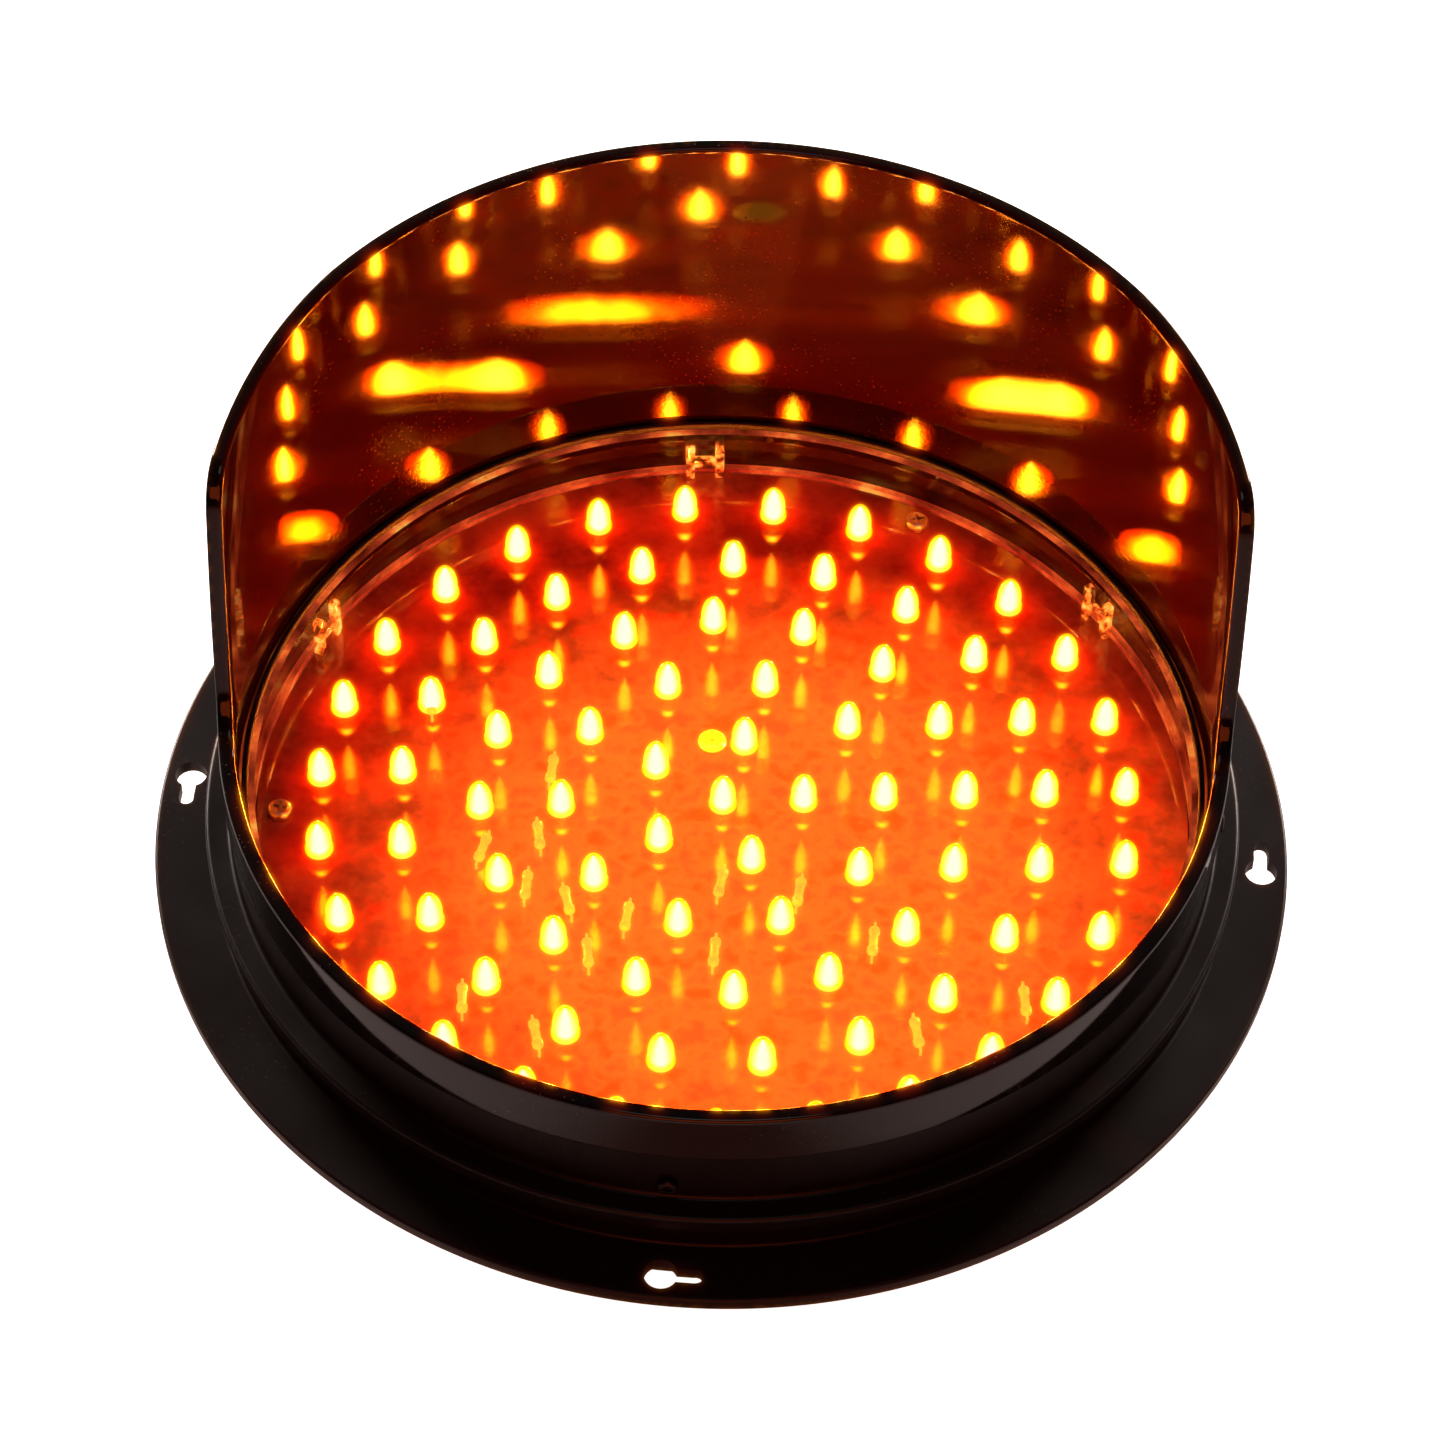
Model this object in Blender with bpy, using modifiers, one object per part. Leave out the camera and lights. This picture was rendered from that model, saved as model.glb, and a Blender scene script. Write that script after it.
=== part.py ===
"""LED traffic signal head: a round flanged housing with a lens, a cutaway visor and a rear cover.

Metres, +Z up. The head lies on the flat back of its rear cover and shines up along +Z. The crown of
the visor is towards +Y. The origin is on the optical axis, at the back of the rear cover.
"""

import math

import bmesh
import bpy
from mathutils import Matrix, Vector

MM = 0.001

# Driving dimensions
LED_PITCH = 17.8 * MM
LED_RING_COUNTS = (1, 5, 10, 16, 21, 27)
LED_START = math.radians(3.456)
FLANGE_RADIUS = 125.0 * MM
FLANGE_BACK = 30.0 * MM
FLANGE_THICKNESS = 3.0 * MM
BORE_RADIUS = 104.9 * MM
VISOR_RADIUS = 108.3 * MM
VISOR_FRONT = 137.5 * MM
COLLAR_TOP = 71.5 * MM
KEYHOLE_RING = 119.2 * MM
KEYHOLE_AZIMUTH = math.radians(85.1)
GAP = 0.3 * MM

# Worked out from them
FLANGE_FRONT = FLANGE_BACK + FLANGE_THICKNESS
QUARTER = math.pi / 2
SEAT_TOP = FLANGE_BACK + 7.2 * MM
SEAT_INNER = BORE_RADIUS - 10.4 * MM
BOARD_THICKNESS = 1.6 * MM
BOARD_LOW = SEAT_TOP + GAP
BOARD_TOP = BOARD_LOW + BOARD_THICKNESS
BOARD_RADIUS = 102.5 * MM
LENS_TOP = BOARD_TOP + 13.3 * MM
LENS_THICKNESS = 2.5 * MM
LENS_RADIUS = BORE_RADIUS - 0.4 * MM
VISOR_SEAM = LENS_TOP + 6.0 * MM
SPIGOT_RADIUS = 106.2 * MM
SPIGOT_TOP = VISOR_SEAM + 7.3 * MM
SKIRT_INNER = SPIGOT_RADIUS + 0.4 * MM
COVER_RIM_TOP = FLANGE_BACK - 1.6 * MM

# The visor's bayonet
LUG_WIDTH = 10.0 * MM
LUG_RADIUS = 107.1 * MM
LUG_LOW = VISOR_SEAM + 1.8 * MM
LUG_HEIGHT = 2.4 * MM
UNLOCK_TURN = math.radians(14.0)
SLOT_RADIUS = LUG_RADIUS + 0.4 * MM

# Fasteners
COVER_SCREW_RING = 99.5 * MM
COVER_SCREW_COUNT = 6
COVER_SCREW_START = math.radians(15.0)
BOARD_SCREW_RING = 97.2 * MM
BOARD_SCREW_COUNT = 3
BOARD_SCREW_START = math.radians(63.2)
CENTRE_SCREW = Vector((-2.7 * MM, 17.3 * MM, 0.0))
LENS_SCREW_HEIGHT = 48.4 * MM
CLIP_COUNT = 6
CLIP_START = math.radians(33.5)

# Driver board, inside the rear cover
DRIVER_CENTRE = Vector((0.0, -30.0 * MM, 0.0))
DRIVER_SIZE = (100.0 * MM, 60.0 * MM)
DRIVER_LOW = 7.3 * MM
DRIVER_TOP = DRIVER_LOW + BOARD_THICKNESS
DRIVER_HOLES = (44.0 * MM, 24.0 * MM)

# Cable gland and vent, on the rear cover's side
GLAND_HEIGHT = 14.0 * MM
GLAND_AZIMUTH = math.pi
GLAND_SEAT = 96.0 * MM
VENT_SEAT = 95.0 * MM

BIG_STEPS = 64
SMALL_STEPS = 12
MERGE = 0.00005
SHARP_ANGLE = math.radians(30.0)

MATERIALS = {
    "housing_black": ((0.012, 0.011, 0.011), 0.35, 0.0),
    "visor_black": ((0.010, 0.009, 0.009), 0.12, 0.0),
    "cover_black": ((0.014, 0.013, 0.013), 0.5, 0.0),
    "clear_lens": ((0.95, 0.95, 0.95), 0.05, 0.0),
    "clear_clip": ((0.85, 0.82, 0.78), 0.15, 0.0),
    "seal_rubber": ((0.02, 0.02, 0.02), 0.8, 0.0),
    "screw_steel": ((0.55, 0.54, 0.52), 0.3, 1.0),
    "led_board": ((0.75, 0.32, 0.05), 0.4, 0.0),
    "driver_board": ((0.03, 0.16, 0.07), 0.45, 0.0),
    "brass": ((0.72, 0.52, 0.20), 0.3, 1.0),
    "terminal_green": ((0.05, 0.30, 0.12), 0.45, 0.0),
    "coil_wrap": ((0.62, 0.47, 0.10), 0.5, 0.0),
    "component_black": ((0.03, 0.03, 0.03), 0.5, 0.0),
    "capacitor_sleeve": ((0.02, 0.03, 0.10), 0.35, 0.0),
    "varistor_blue": ((0.05, 0.16, 0.45), 0.4, 0.0),
    "fuse_glass": ((0.75, 0.78, 0.80), 0.1, 0.0),
    "connector_white": ((0.80, 0.78, 0.72), 0.5, 0.0),
    "wire_red": ((0.55, 0.03, 0.02), 0.45, 0.0),
    "wire_black": ((0.02, 0.02, 0.02), 0.45, 0.0),
    "gland_black": ((0.02, 0.02, 0.02), 0.5, 0.0),
}


# Scene and collections

def clear_scene():
    for obj in list(bpy.data.objects):
        bpy.data.objects.remove(obj, do_unlink=True)


def new_collection(name):
    collection = bpy.data.collections.new(name)
    bpy.context.scene.collection.children.link(collection)
    return collection


def make_materials():
    made = {}
    for name, (colour, roughness, metallic) in MATERIALS.items():
        material = bpy.data.materials.new(name)
        material.use_nodes = True
        shader = material.node_tree.nodes["Principled BSDF"]
        shader.inputs["Base Color"].default_value = (*colour, 1.0)
        shader.inputs["Roughness"].default_value = roughness
        shader.inputs["Metallic"].default_value = metallic
        made[name] = material
    made["clear_lens"].node_tree.nodes["Principled BSDF"].inputs["Transmission Weight"].default_value = 1.0
    return made


clear_scene()
parts = new_collection("traffic_signal_head")
tools = new_collection("cutters_and_joined_shapes")
materials = make_materials()


# Ways of making a shape

def add_part(name, mesh, material):
    obj = bpy.data.objects.new(name, mesh)
    obj.data.materials.append(materials[material])
    parts.objects.link(obj)
    return obj


def add_tool(name, mesh):
    """A cutter, or a shape that a Boolean joins to a part. It isn't a part itself."""
    obj = bpy.data.objects.new(name, mesh)
    tools.objects.link(obj)
    obj.hide_render = True
    obj.display_type = "WIRE"
    return obj


def turn(obj, steps):
    """Turns the object's profile a whole turn about its Z axis."""
    screw = obj.modifiers.new("turn", "SCREW")
    screw.steps = steps
    screw.render_steps = steps
    screw.use_merge_vertices = True
    screw.merge_threshold = MERGE


def profile_mesh(name, profile, ring):
    """Edges through (radius, height) points, which run down the outer side. A ring's profile is closed."""
    count = len(profile)
    edges = [(i, i + 1) for i in range(count - 1)]
    if ring:
        edges.append((count - 1, 0))
    mesh = bpy.data.meshes.new(name)
    mesh.from_pydata([(radius, 0.0, height) for radius, height in profile], edges, [])
    return mesh


def turned_ring(name, profile, material, steps=BIG_STEPS):
    obj = add_part(name, profile_mesh(name, profile, ring=True), material)
    turn(obj, steps)
    return obj


def turned_solid(name, profile, material, steps=SMALL_STEPS):
    obj = add_part(name, profile_mesh(name, profile, ring=False), material)
    turn(obj, steps)
    return obj


def flat_ring(name, inner, outer, low, high, material, steps=BIG_STEPS):
    return turned_ring(name, ((outer, high), (outer, low), (inner, low), (inner, high)), material, steps)


def cylinder_mesh(name, radius, low, high, sides=SMALL_STEPS, place=None):
    """An upright cylinder about Z from low to high, then moved by the matrix place."""
    shape = bmesh.new()
    bmesh.ops.create_cone(
        shape, cap_ends=True, segments=sides, radius1=radius, radius2=radius, depth=high - low
    )
    bmesh.ops.translate(shape, verts=shape.verts, vec=(0.0, 0.0, (low + high) / 2))
    if place is not None:
        bmesh.ops.transform(shape, matrix=place, verts=shape.verts)
    mesh = bpy.data.meshes.new(name)
    shape.to_mesh(mesh)
    shape.free()
    return mesh


def box_mesh(name, low, high, place=None):
    """A box between two corners, then moved by the matrix place."""
    low = Vector(low)
    high = Vector(high)
    shape = bmesh.new()
    bmesh.ops.create_cube(shape, size=1.0)
    bmesh.ops.scale(shape, vec=high - low, verts=shape.verts)
    bmesh.ops.translate(shape, vec=(low + high) / 2, verts=shape.verts)
    if place is not None:
        bmesh.ops.transform(shape, matrix=place, verts=shape.verts)
    mesh = bpy.data.meshes.new(name)
    shape.to_mesh(mesh)
    shape.free()
    return mesh


def sector_mesh(name, inner, outer, low, high, start, end, steps):
    """A piece of a ring, spun from one flat end to the other."""
    shape = bmesh.new()
    bmesh.ops.create_grid(shape, x_segments=1, y_segments=1, size=0.5)
    bmesh.ops.rotate(shape, cent=(0, 0, 0), matrix=Matrix.Rotation(QUARTER, 3, "X"), verts=shape.verts)
    bmesh.ops.scale(shape, vec=(outer - inner, 1.0, high - low), verts=shape.verts)
    bmesh.ops.translate(shape, vec=((inner + outer) / 2, 0.0, (low + high) / 2), verts=shape.verts)
    bmesh.ops.rotate(shape, cent=(0, 0, 0), matrix=Matrix.Rotation(start, 3, "Z"), verts=shape.verts)
    bmesh.ops.spin(
        shape, geom=shape.verts[:] + shape.edges[:] + shape.faces[:], cent=(0, 0, 0), axis=(0, 0, 1),
        angle=end - start, steps=steps,
    )
    bmesh.ops.recalc_face_normals(shape, faces=shape.faces)
    mesh = bpy.data.meshes.new(name)
    shape.to_mesh(mesh)
    shape.free()
    return mesh


def cut(obj, mesh):
    """Takes the closed mesh away from the object."""
    modifier = obj.modifiers.new("cut", "BOOLEAN")
    modifier.operation = "DIFFERENCE"
    modifier.object = add_tool(mesh.name, mesh)


def join(obj, mesh):
    """Joins the closed mesh to the object as one body."""
    modifier = obj.modifiers.new("join", "BOOLEAN")
    modifier.operation = "UNION"
    modifier.object = add_tool(mesh.name, mesh)


def as_mesh(obj):
    """The object's mesh as it stands with its modifiers."""
    graph = bpy.context.evaluated_depsgraph_get()
    graph.update()
    return bpy.data.meshes.new_from_object(obj.evaluated_get(graph), depsgraph=graph)


def repeated_mesh(name, mesh, places):
    """One mesh that holds a copy of the given mesh at each place."""
    shape = bmesh.new()
    for place in places:
        old = len(shape.verts)
        shape.from_mesh(mesh)
        shape.verts.ensure_lookup_table()
        bmesh.ops.transform(shape, matrix=place, verts=shape.verts[old:])
    made = bpy.data.meshes.new(name)
    shape.to_mesh(made)
    shape.free()
    return made


def polar(azimuth, radius, height=0.0):
    """A place on a circle about Z, turned so that its own X points outwards."""
    return Matrix.Rotation(azimuth, 4, "Z") @ Matrix.Translation((radius, 0.0, height))


def ring_azimuths(start, count):
    return [start + 2 * math.pi * k / count for k in range(count)]


def sideways(azimuth, height):
    """Turns an upright shape so that its height runs outwards from the axis in that direction."""
    return (
        Matrix.Rotation(azimuth, 4, "Z")
        @ Matrix.Translation((0.0, 0.0, height))
        @ Matrix.Rotation(QUARTER, 4, "Y")
    )


def rounded_outline(corners, arc_steps):
    """Points along straight lines whose corners (a, b, radius) are rounded with arcs."""
    points = []
    count = len(corners)
    for i, (a, b, radius) in enumerate(corners):
        here = Vector((a, b))
        if radius == 0.0:
            points.append(here)
            continue
        to_last = (Vector(corners[i - 1][:2]) - here).normalized()
        to_next = (Vector(corners[(i + 1) % count][:2]) - here).normalized()
        half = to_last.angle(to_next) / 2
        centre = here + (to_last + to_next).normalized() * radius / math.sin(half)
        first = here + to_last * radius / math.tan(half) - centre
        sweep = first.angle_signed(here + to_next * radius / math.tan(half) - centre)
        for k in range(arc_steps + 1):
            points.append(centre + Matrix.Rotation(-sweep * k / arc_steps, 2) @ first)
    return points


def pan_screw(name, head_radius, head_height, shank_radius, shank_length, place, material="screw_steel"):
    """A pan-head screw whose head starts at the place's origin and rises along its Z."""
    crown = head_radius * 0.72
    profile = (
        (0.0, head_height),
        (crown, head_height),
        (head_radius, head_height * 0.45),
        (head_radius, 0.0),
        (shank_radius, 0.0),
        (shank_radius, -shank_length),
        (0.0, -shank_length),
    )
    obj = turned_solid(name, profile, material)
    obj.matrix_world = place
    return obj


# Housing: flange, shoulder, wall, seat for the LED board and spigot for the visor

RELIEF_INNER = 107.2 * MM
RELIEF_OUTER = 110.2 * MM
RELIEF_TOP = 41.0 * MM
GASKET_RECESS_RADIUS = 115.6 * MM
GASKET_RECESS_TOP = FLANGE_BACK + 0.5 * MM
SHOULDER_RADIUS = 113.2 * MM
SHOULDER_TOP = 44.2 * MM
FOOT_RADIUS = 111.6 * MM
KEYHOLE_RADIUS = 3.5 * MM
KEYHOLE_SLOT_HALF = 1.6 * MM
KEYHOLE_TURN = math.radians(3.4)
SCREW_CLEARANCE = 2.1 * MM
BOARD_HOLE = 1.6 * MM


def housing_profile():
    wall_low = 107.6 * MM
    wall_high = 107.3 * MM
    edge = 0.6 * MM
    return (
        (SPIGOT_RADIUS - edge, SPIGOT_TOP),
        (SPIGOT_RADIUS, SPIGOT_TOP - edge),
        (SPIGOT_RADIUS, VISOR_SEAM - GAP),
        (wall_high, VISOR_SEAM - GAP),
        (wall_low, SHOULDER_TOP + edge),
        (wall_low + edge, SHOULDER_TOP),
        (SHOULDER_RADIUS - edge, SHOULDER_TOP),
        (SHOULDER_RADIUS, SHOULDER_TOP - edge),
        (SHOULDER_RADIUS, SHOULDER_TOP - 4.0 * MM),
        (FOOT_RADIUS, SHOULDER_TOP - 5.0 * MM),
        (FOOT_RADIUS, FLANGE_FRONT + edge),
        (FOOT_RADIUS + edge, FLANGE_FRONT),
        (FLANGE_RADIUS - edge, FLANGE_FRONT),
        (FLANGE_RADIUS, FLANGE_FRONT - edge),
        (FLANGE_RADIUS, FLANGE_BACK),
        (GASKET_RECESS_RADIUS, FLANGE_BACK),
        (GASKET_RECESS_RADIUS, GASKET_RECESS_TOP),
        (RELIEF_OUTER, GASKET_RECESS_TOP),
        (RELIEF_OUTER, RELIEF_TOP),
        (RELIEF_INNER, RELIEF_TOP),
        (RELIEF_INNER, FLANGE_BACK),
        (SEAT_INNER, FLANGE_BACK),
        (SEAT_INNER, SEAT_TOP),
        (BORE_RADIUS, SEAT_TOP),
        (BORE_RADIUS, SPIGOT_TOP),
    )


def keyhole(azimuth):
    """A round hole for the screw's head to pass, and a slot that runs round from it."""
    low = FLANGE_BACK - MM
    high = FLANGE_FRONT + MM
    end = polar(azimuth + KEYHOLE_TURN, KEYHOLE_RING)
    start = polar(azimuth, KEYHOLE_RING)
    run = (end.translation - start.translation).length
    slot_place = polar(azimuth + KEYHOLE_TURN / 2, KEYHOLE_RING)
    slot_low = (-KEYHOLE_SLOT_HALF, -run / 2, low)
    slot_high = (KEYHOLE_SLOT_HALF, run / 2, high)
    return (
        cylinder_mesh("keyhole_head", KEYHOLE_RADIUS, low, high, 20, start),
        box_mesh("keyhole_slot", slot_low, slot_high, slot_place),
        cylinder_mesh("keyhole_end", KEYHOLE_SLOT_HALF, low, high, SMALL_STEPS, end),
    )


def make_housing():
    housing = turned_ring("housing", housing_profile(), "housing_black")
    for azimuth in ring_azimuths(KEYHOLE_AZIMUTH, 4):
        for mesh in keyhole(azimuth):
            cut(housing, mesh)
        lug_low = (BORE_RADIUS + 0.5 * MM, -LUG_WIDTH / 2, LUG_LOW)
        lug_high = (LUG_RADIUS, LUG_WIDTH / 2, LUG_LOW + LUG_HEIGHT)
        join(housing, box_mesh("visor_lug", lug_low, lug_high, Matrix.Rotation(azimuth, 4, "Z")))
        hole_place = sideways(azimuth, LENS_SCREW_HEIGHT)
        hole = cylinder_mesh("lens_screw_hole", BOARD_HOLE, 100 * MM, 112 * MM, SMALL_STEPS, hole_place)
        cut(housing, hole)
    for azimuth in ring_azimuths(COVER_SCREW_START, COVER_SCREW_COUNT):
        place = polar(azimuth, COVER_SCREW_RING)
        low = FLANGE_BACK - MM
        high = FLANGE_BACK + 6.0 * MM
        cut(housing, cylinder_mesh("cover_screw_hole", SCREW_CLEARANCE, low, high, 8, place))
    for azimuth in ring_azimuths(BOARD_SCREW_START, BOARD_SCREW_COUNT):
        place = polar(azimuth, BOARD_SCREW_RING)
        low = SEAT_TOP - 5.7 * MM
        cut(housing, cylinder_mesh("board_screw_hole", BOARD_HOLE, low, SEAT_TOP + MM, 8, place))


# Rear cover: a shallow bowl with a screwed rim, board posts, a gland boss and a vent boss

COVER_RIM_RADIUS = 104.0 * MM
COVER_RIM_THICKNESS = 3.0 * MM
COVER_WALL = 2.5 * MM
COVER_MOUTH = 94.0 * MM
COVER_BACK = 90.0 * MM
POST_TOP = DRIVER_LOW - GAP


def cover_profile():
    rim_low = COVER_RIM_TOP - COVER_RIM_THICKNESS
    heel = 4.0 * MM
    return (
        (COVER_RIM_RADIUS, COVER_RIM_TOP),
        (COVER_RIM_RADIUS, rim_low),
        (COVER_MOUTH, rim_low),
        (COVER_BACK, heel),
        (COVER_BACK - heel, 0.0),
        (0.0, 0.0),
        (0.0, COVER_WALL),
        (COVER_BACK - heel - MM, COVER_WALL),
        (COVER_BACK - COVER_WALL, heel + MM),
        (COVER_MOUTH - COVER_WALL, rim_low),
        (COVER_MOUTH - COVER_WALL, COVER_RIM_TOP),
    )


def driver_hole_places():
    half_x, half_y = DRIVER_HOLES
    corners = ((half_x, half_y), (-half_x, half_y), (-half_x, -half_y), (half_x, -half_y))
    return [Matrix.Translation(DRIVER_CENTRE + Vector((x, y, 0.0))) for x, y in corners]


def make_rear_cover():
    cover = turned_ring("rear_cover", cover_profile(), "cover_black")
    floor = COVER_WALL - MM
    for place in driver_hole_places():
        join(cover, cylinder_mesh("board_post", 3.5 * MM, floor, POST_TOP, SMALL_STEPS, place))
        cut(cover, cylinder_mesh("board_post_hole", 1.4 * MM, COVER_WALL, POST_TOP + MM, 8, place))
    centre = Matrix.Translation(CENTRE_SCREW)
    join(cover, cylinder_mesh("centre_post", 5.0 * MM, floor, POST_TOP, SMALL_STEPS, centre))
    gland_side = sideways(GLAND_AZIMUTH, GLAND_HEIGHT)
    join(cover, cylinder_mesh("gland_boss", 10.2 * MM, 85.0 * MM, GLAND_SEAT, 20, gland_side))
    cut(cover, cylinder_mesh("gland_hole", 6.5 * MM, 80.0 * MM, 100.0 * MM, 20, gland_side))
    vent_side = sideways(QUARTER, GLAND_HEIGHT)
    join(cover, cylinder_mesh("vent_boss", 7.0 * MM, 85.5 * MM, VENT_SEAT, 16, vent_side))
    cut(cover, cylinder_mesh("vent_hole", 3.1 * MM, 80.0 * MM, 100.0 * MM, SMALL_STEPS, vent_side))
    for azimuth in ring_azimuths(COVER_SCREW_START, COVER_SCREW_COUNT):
        place = polar(azimuth, COVER_SCREW_RING)
        low = COVER_RIM_TOP - COVER_RIM_THICKNESS - MM
        cut(cover, cylinder_mesh("rim_hole", SCREW_CLEARANCE, low, COVER_RIM_TOP + MM, 8, place))


def make_cover_gasket():
    low = COVER_RIM_TOP + GAP
    high = FLANGE_BACK - GAP
    gasket = flat_ring("rear_cover_gasket", SEAT_INNER + MM, COVER_RIM_RADIUS, low, high, "seal_rubber", 48)
    for azimuth in ring_azimuths(COVER_SCREW_START, COVER_SCREW_COUNT):
        place = polar(azimuth, COVER_SCREW_RING)
        cut(gasket, cylinder_mesh("gasket_hole", SCREW_CLEARANCE, low - MM, high + MM, 8, place))


def make_cover_screws():
    underside = COVER_RIM_TOP - COVER_RIM_THICKNESS - GAP
    upside_down = Matrix.Rotation(math.pi, 4, "X")
    for number, azimuth in enumerate(ring_azimuths(COVER_SCREW_START, COVER_SCREW_COUNT), 1):
        place = polar(azimuth, COVER_SCREW_RING, underside) @ upside_down
        pan_screw(f"rear_cover_screw_{number}", 3.5 * MM, 2.5 * MM, 1.75 * MM, 10.2 * MM, place)


def make_panel_gasket():
    low = FLANGE_BACK - 2.3 * MM
    high = GASKET_RECESS_TOP - GAP
    outer = GASKET_RECESS_RADIUS - GAP
    flat_ring("panel_gasket", RELIEF_OUTER + GAP, outer, low, high, "seal_rubber", 48)


# LED board: a round circuit board with the LEDs soldered on it, joined as one piece

LED_RADIUS = 2.5 * MM
LED_HEIGHT = 8.6 * MM


def led_places():
    places = []
    for ring, count in enumerate(LED_RING_COUNTS):
        for azimuth in ring_azimuths(LED_START, count):
            places.append(polar(azimuth, ring * LED_PITCH, BOARD_TOP))
    return places


def led_shape():
    """One domed LED, sunk a little into the board so that the two join."""
    sunk = 0.5 * MM
    profile = (
        (0.0, LED_HEIGHT),
        (LED_RADIUS * 0.62, LED_HEIGHT - 0.6 * MM),
        (LED_RADIUS, LED_HEIGHT - LED_RADIUS),
        (LED_RADIUS, -sunk),
        (0.0, -sunk),
    )
    template = add_tool("led_template", profile_mesh("led_template", profile, ring=False))
    turn(template, 6)
    return as_mesh(template)


def make_led_board():
    profile = ((0.0, BOARD_TOP), (BOARD_RADIUS, BOARD_TOP), (BOARD_RADIUS, BOARD_LOW), (0.0, BOARD_LOW))
    board = turned_solid("led_board", profile, "led_board", BIG_STEPS)
    low = BOARD_LOW - MM
    high = BOARD_TOP + MM
    places = [polar(azimuth, BOARD_SCREW_RING) for azimuth in board_screw_azimuths()]
    places.append(Matrix.Translation(CENTRE_SCREW))
    for place in places:
        cut(board, cylinder_mesh("board_hole", BOARD_HOLE, low, high, 8, place))
    join(board, repeated_mesh("led_domes", led_shape(), led_places()))


def board_screw_azimuths():
    return ring_azimuths(BOARD_SCREW_START, BOARD_SCREW_COUNT)


def make_board_screws():
    seat = BOARD_TOP + GAP
    for number, azimuth in enumerate(board_screw_azimuths(), 1):
        place = polar(azimuth, BOARD_SCREW_RING, seat)
        pan_screw(f"led_board_screw_{number}", 2.75 * MM, 2.0 * MM, 1.2 * MM, 7.0 * MM, place)
    place = Matrix.Translation(CENTRE_SCREW + Vector((0.0, 0.0, seat)))
    pan_screw("led_board_centre_screw", 2.75 * MM, 2.0 * MM, 1.2 * MM, 8.0 * MM, place)


def make_centre_standoff():
    low = POST_TOP + GAP
    high = SEAT_TOP
    place = Matrix.Translation(CENTRE_SCREW)
    mesh = cylinder_mesh("centre_standoff", 4.0 * MM, low, high, 6, place)
    standoff = add_part("centre_standoff", mesh, "brass")
    cut(standoff, cylinder_mesh("standoff_thread", BOARD_HOLE, high - 9.0 * MM, high + MM, 8, place))


# Lens: a clear cup over the board, its seal, its inner clips and its side screws

def make_lens():
    inner = LENS_RADIUS - 1.6 * MM
    under = LENS_TOP - LENS_THICKNESS
    edge = 0.5 * MM
    profile = (
        (0.0, LENS_TOP),
        (LENS_RADIUS - edge, LENS_TOP),
        (LENS_RADIUS, LENS_TOP - edge),
        (LENS_RADIUS, SEAT_TOP + GAP),
        (inner, SEAT_TOP + GAP),
        (inner, under),
        (0.0, under),
    )
    turned_solid("lens", profile, "clear_lens", BIG_STEPS)


def make_lens_seal():
    low = LENS_TOP + GAP
    flat_ring("lens_seal", 103.2 * MM, BORE_RADIUS - GAP, low, low + 1.7 * MM, "seal_rubber", BIG_STEPS)


def make_lens_clips():
    """H-shaped clips between the board and the lens: two posts and a bar."""
    inner = 100.2 * MM
    outer = LENS_RADIUS - 2.2 * MM
    low = BOARD_TOP + GAP
    high = LENS_TOP - LENS_THICKNESS - GAP
    half = 4.5 * MM
    notch = 2.4 * MM
    bar_low = low + 3.6 * MM
    bar_high = bar_low + 2.2 * MM
    for number, azimuth in enumerate(ring_azimuths(CLIP_START, CLIP_COUNT), 1):
        place = Matrix.Rotation(azimuth, 4, "Z")
        name = f"lens_clip_{number}"
        clip = add_part(name, box_mesh(name, (inner, -half, low), (outer, half, high), place), "clear_clip")
        below = ((inner - MM, -notch, low - MM), (outer + MM, notch, bar_low))
        above = ((inner - MM, -notch, bar_high), (outer + MM, notch, high + MM))
        cut(clip, box_mesh("clip_gap", *below, place))
        cut(clip, box_mesh("clip_gap", *above, place))


def make_lens_screws():
    for number, azimuth in enumerate(ring_azimuths(KEYHOLE_AZIMUTH, 4), 1):
        place = sideways(azimuth, LENS_SCREW_HEIGHT) @ Matrix.Translation((0.0, 0.0, 107.9 * MM))
        pan_screw(f"lens_screw_{number}", 2.2 * MM, 1.4 * MM, 1.2 * MM, 3.1 * MM, place)


# Visor: a full collar that locks on the spigot, and a cutaway hood above it

def hood_cutter():
    """What is cut from the front of the tube, as a side outline of (y, z, corner radius) swept across X."""
    far = 130.0 * MM
    above = 165.0 * MM
    corners = (
        (far, VISOR_FRONT + 1.2 * MM, 0.0),
        (60.0 * MM, VISOR_FRONT - 2.0 * MM, 150.0 * MM),
        (8.2 * MM, VISOR_FRONT - 8.6 * MM, 10.0 * MM),
        (-7.8 * MM, COLLAR_TOP, 12.0 * MM),
        (-far, COLLAR_TOP, 0.0),
        (-far, above, 0.0),
        (far, above, 0.0),
    )
    curve = bpy.data.curves.new("hood_cutter", "CURVE")
    curve.dimensions = "2D"
    curve.fill_mode = "BOTH"
    curve.extrude = far
    points = rounded_outline(corners, 5)
    spline = curve.splines.new("POLY")
    spline.points.add(len(points) - 1)
    for slot, point in zip(spline.points, points):
        slot.co = (point.x, point.y, 0.0, 1.0)
    spline.use_cyclic_u = True
    drawn = add_tool("hood_outline", curve)
    mesh = as_mesh(drawn)
    bpy.data.objects.remove(drawn)
    shape = bmesh.new()
    shape.from_mesh(mesh)
    bmesh.ops.remove_doubles(shape, verts=shape.verts, dist=MERGE)
    stand_up = Matrix(((0, 0, 1, 0), (1, 0, 0, 0), (0, 1, 0, 0), (0, 0, 0, 1)))
    bmesh.ops.transform(shape, matrix=stand_up, verts=shape.verts)
    bmesh.ops.recalc_face_normals(shape, faces=shape.faces)
    shape.to_mesh(mesh)
    shape.free()
    return mesh


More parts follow.
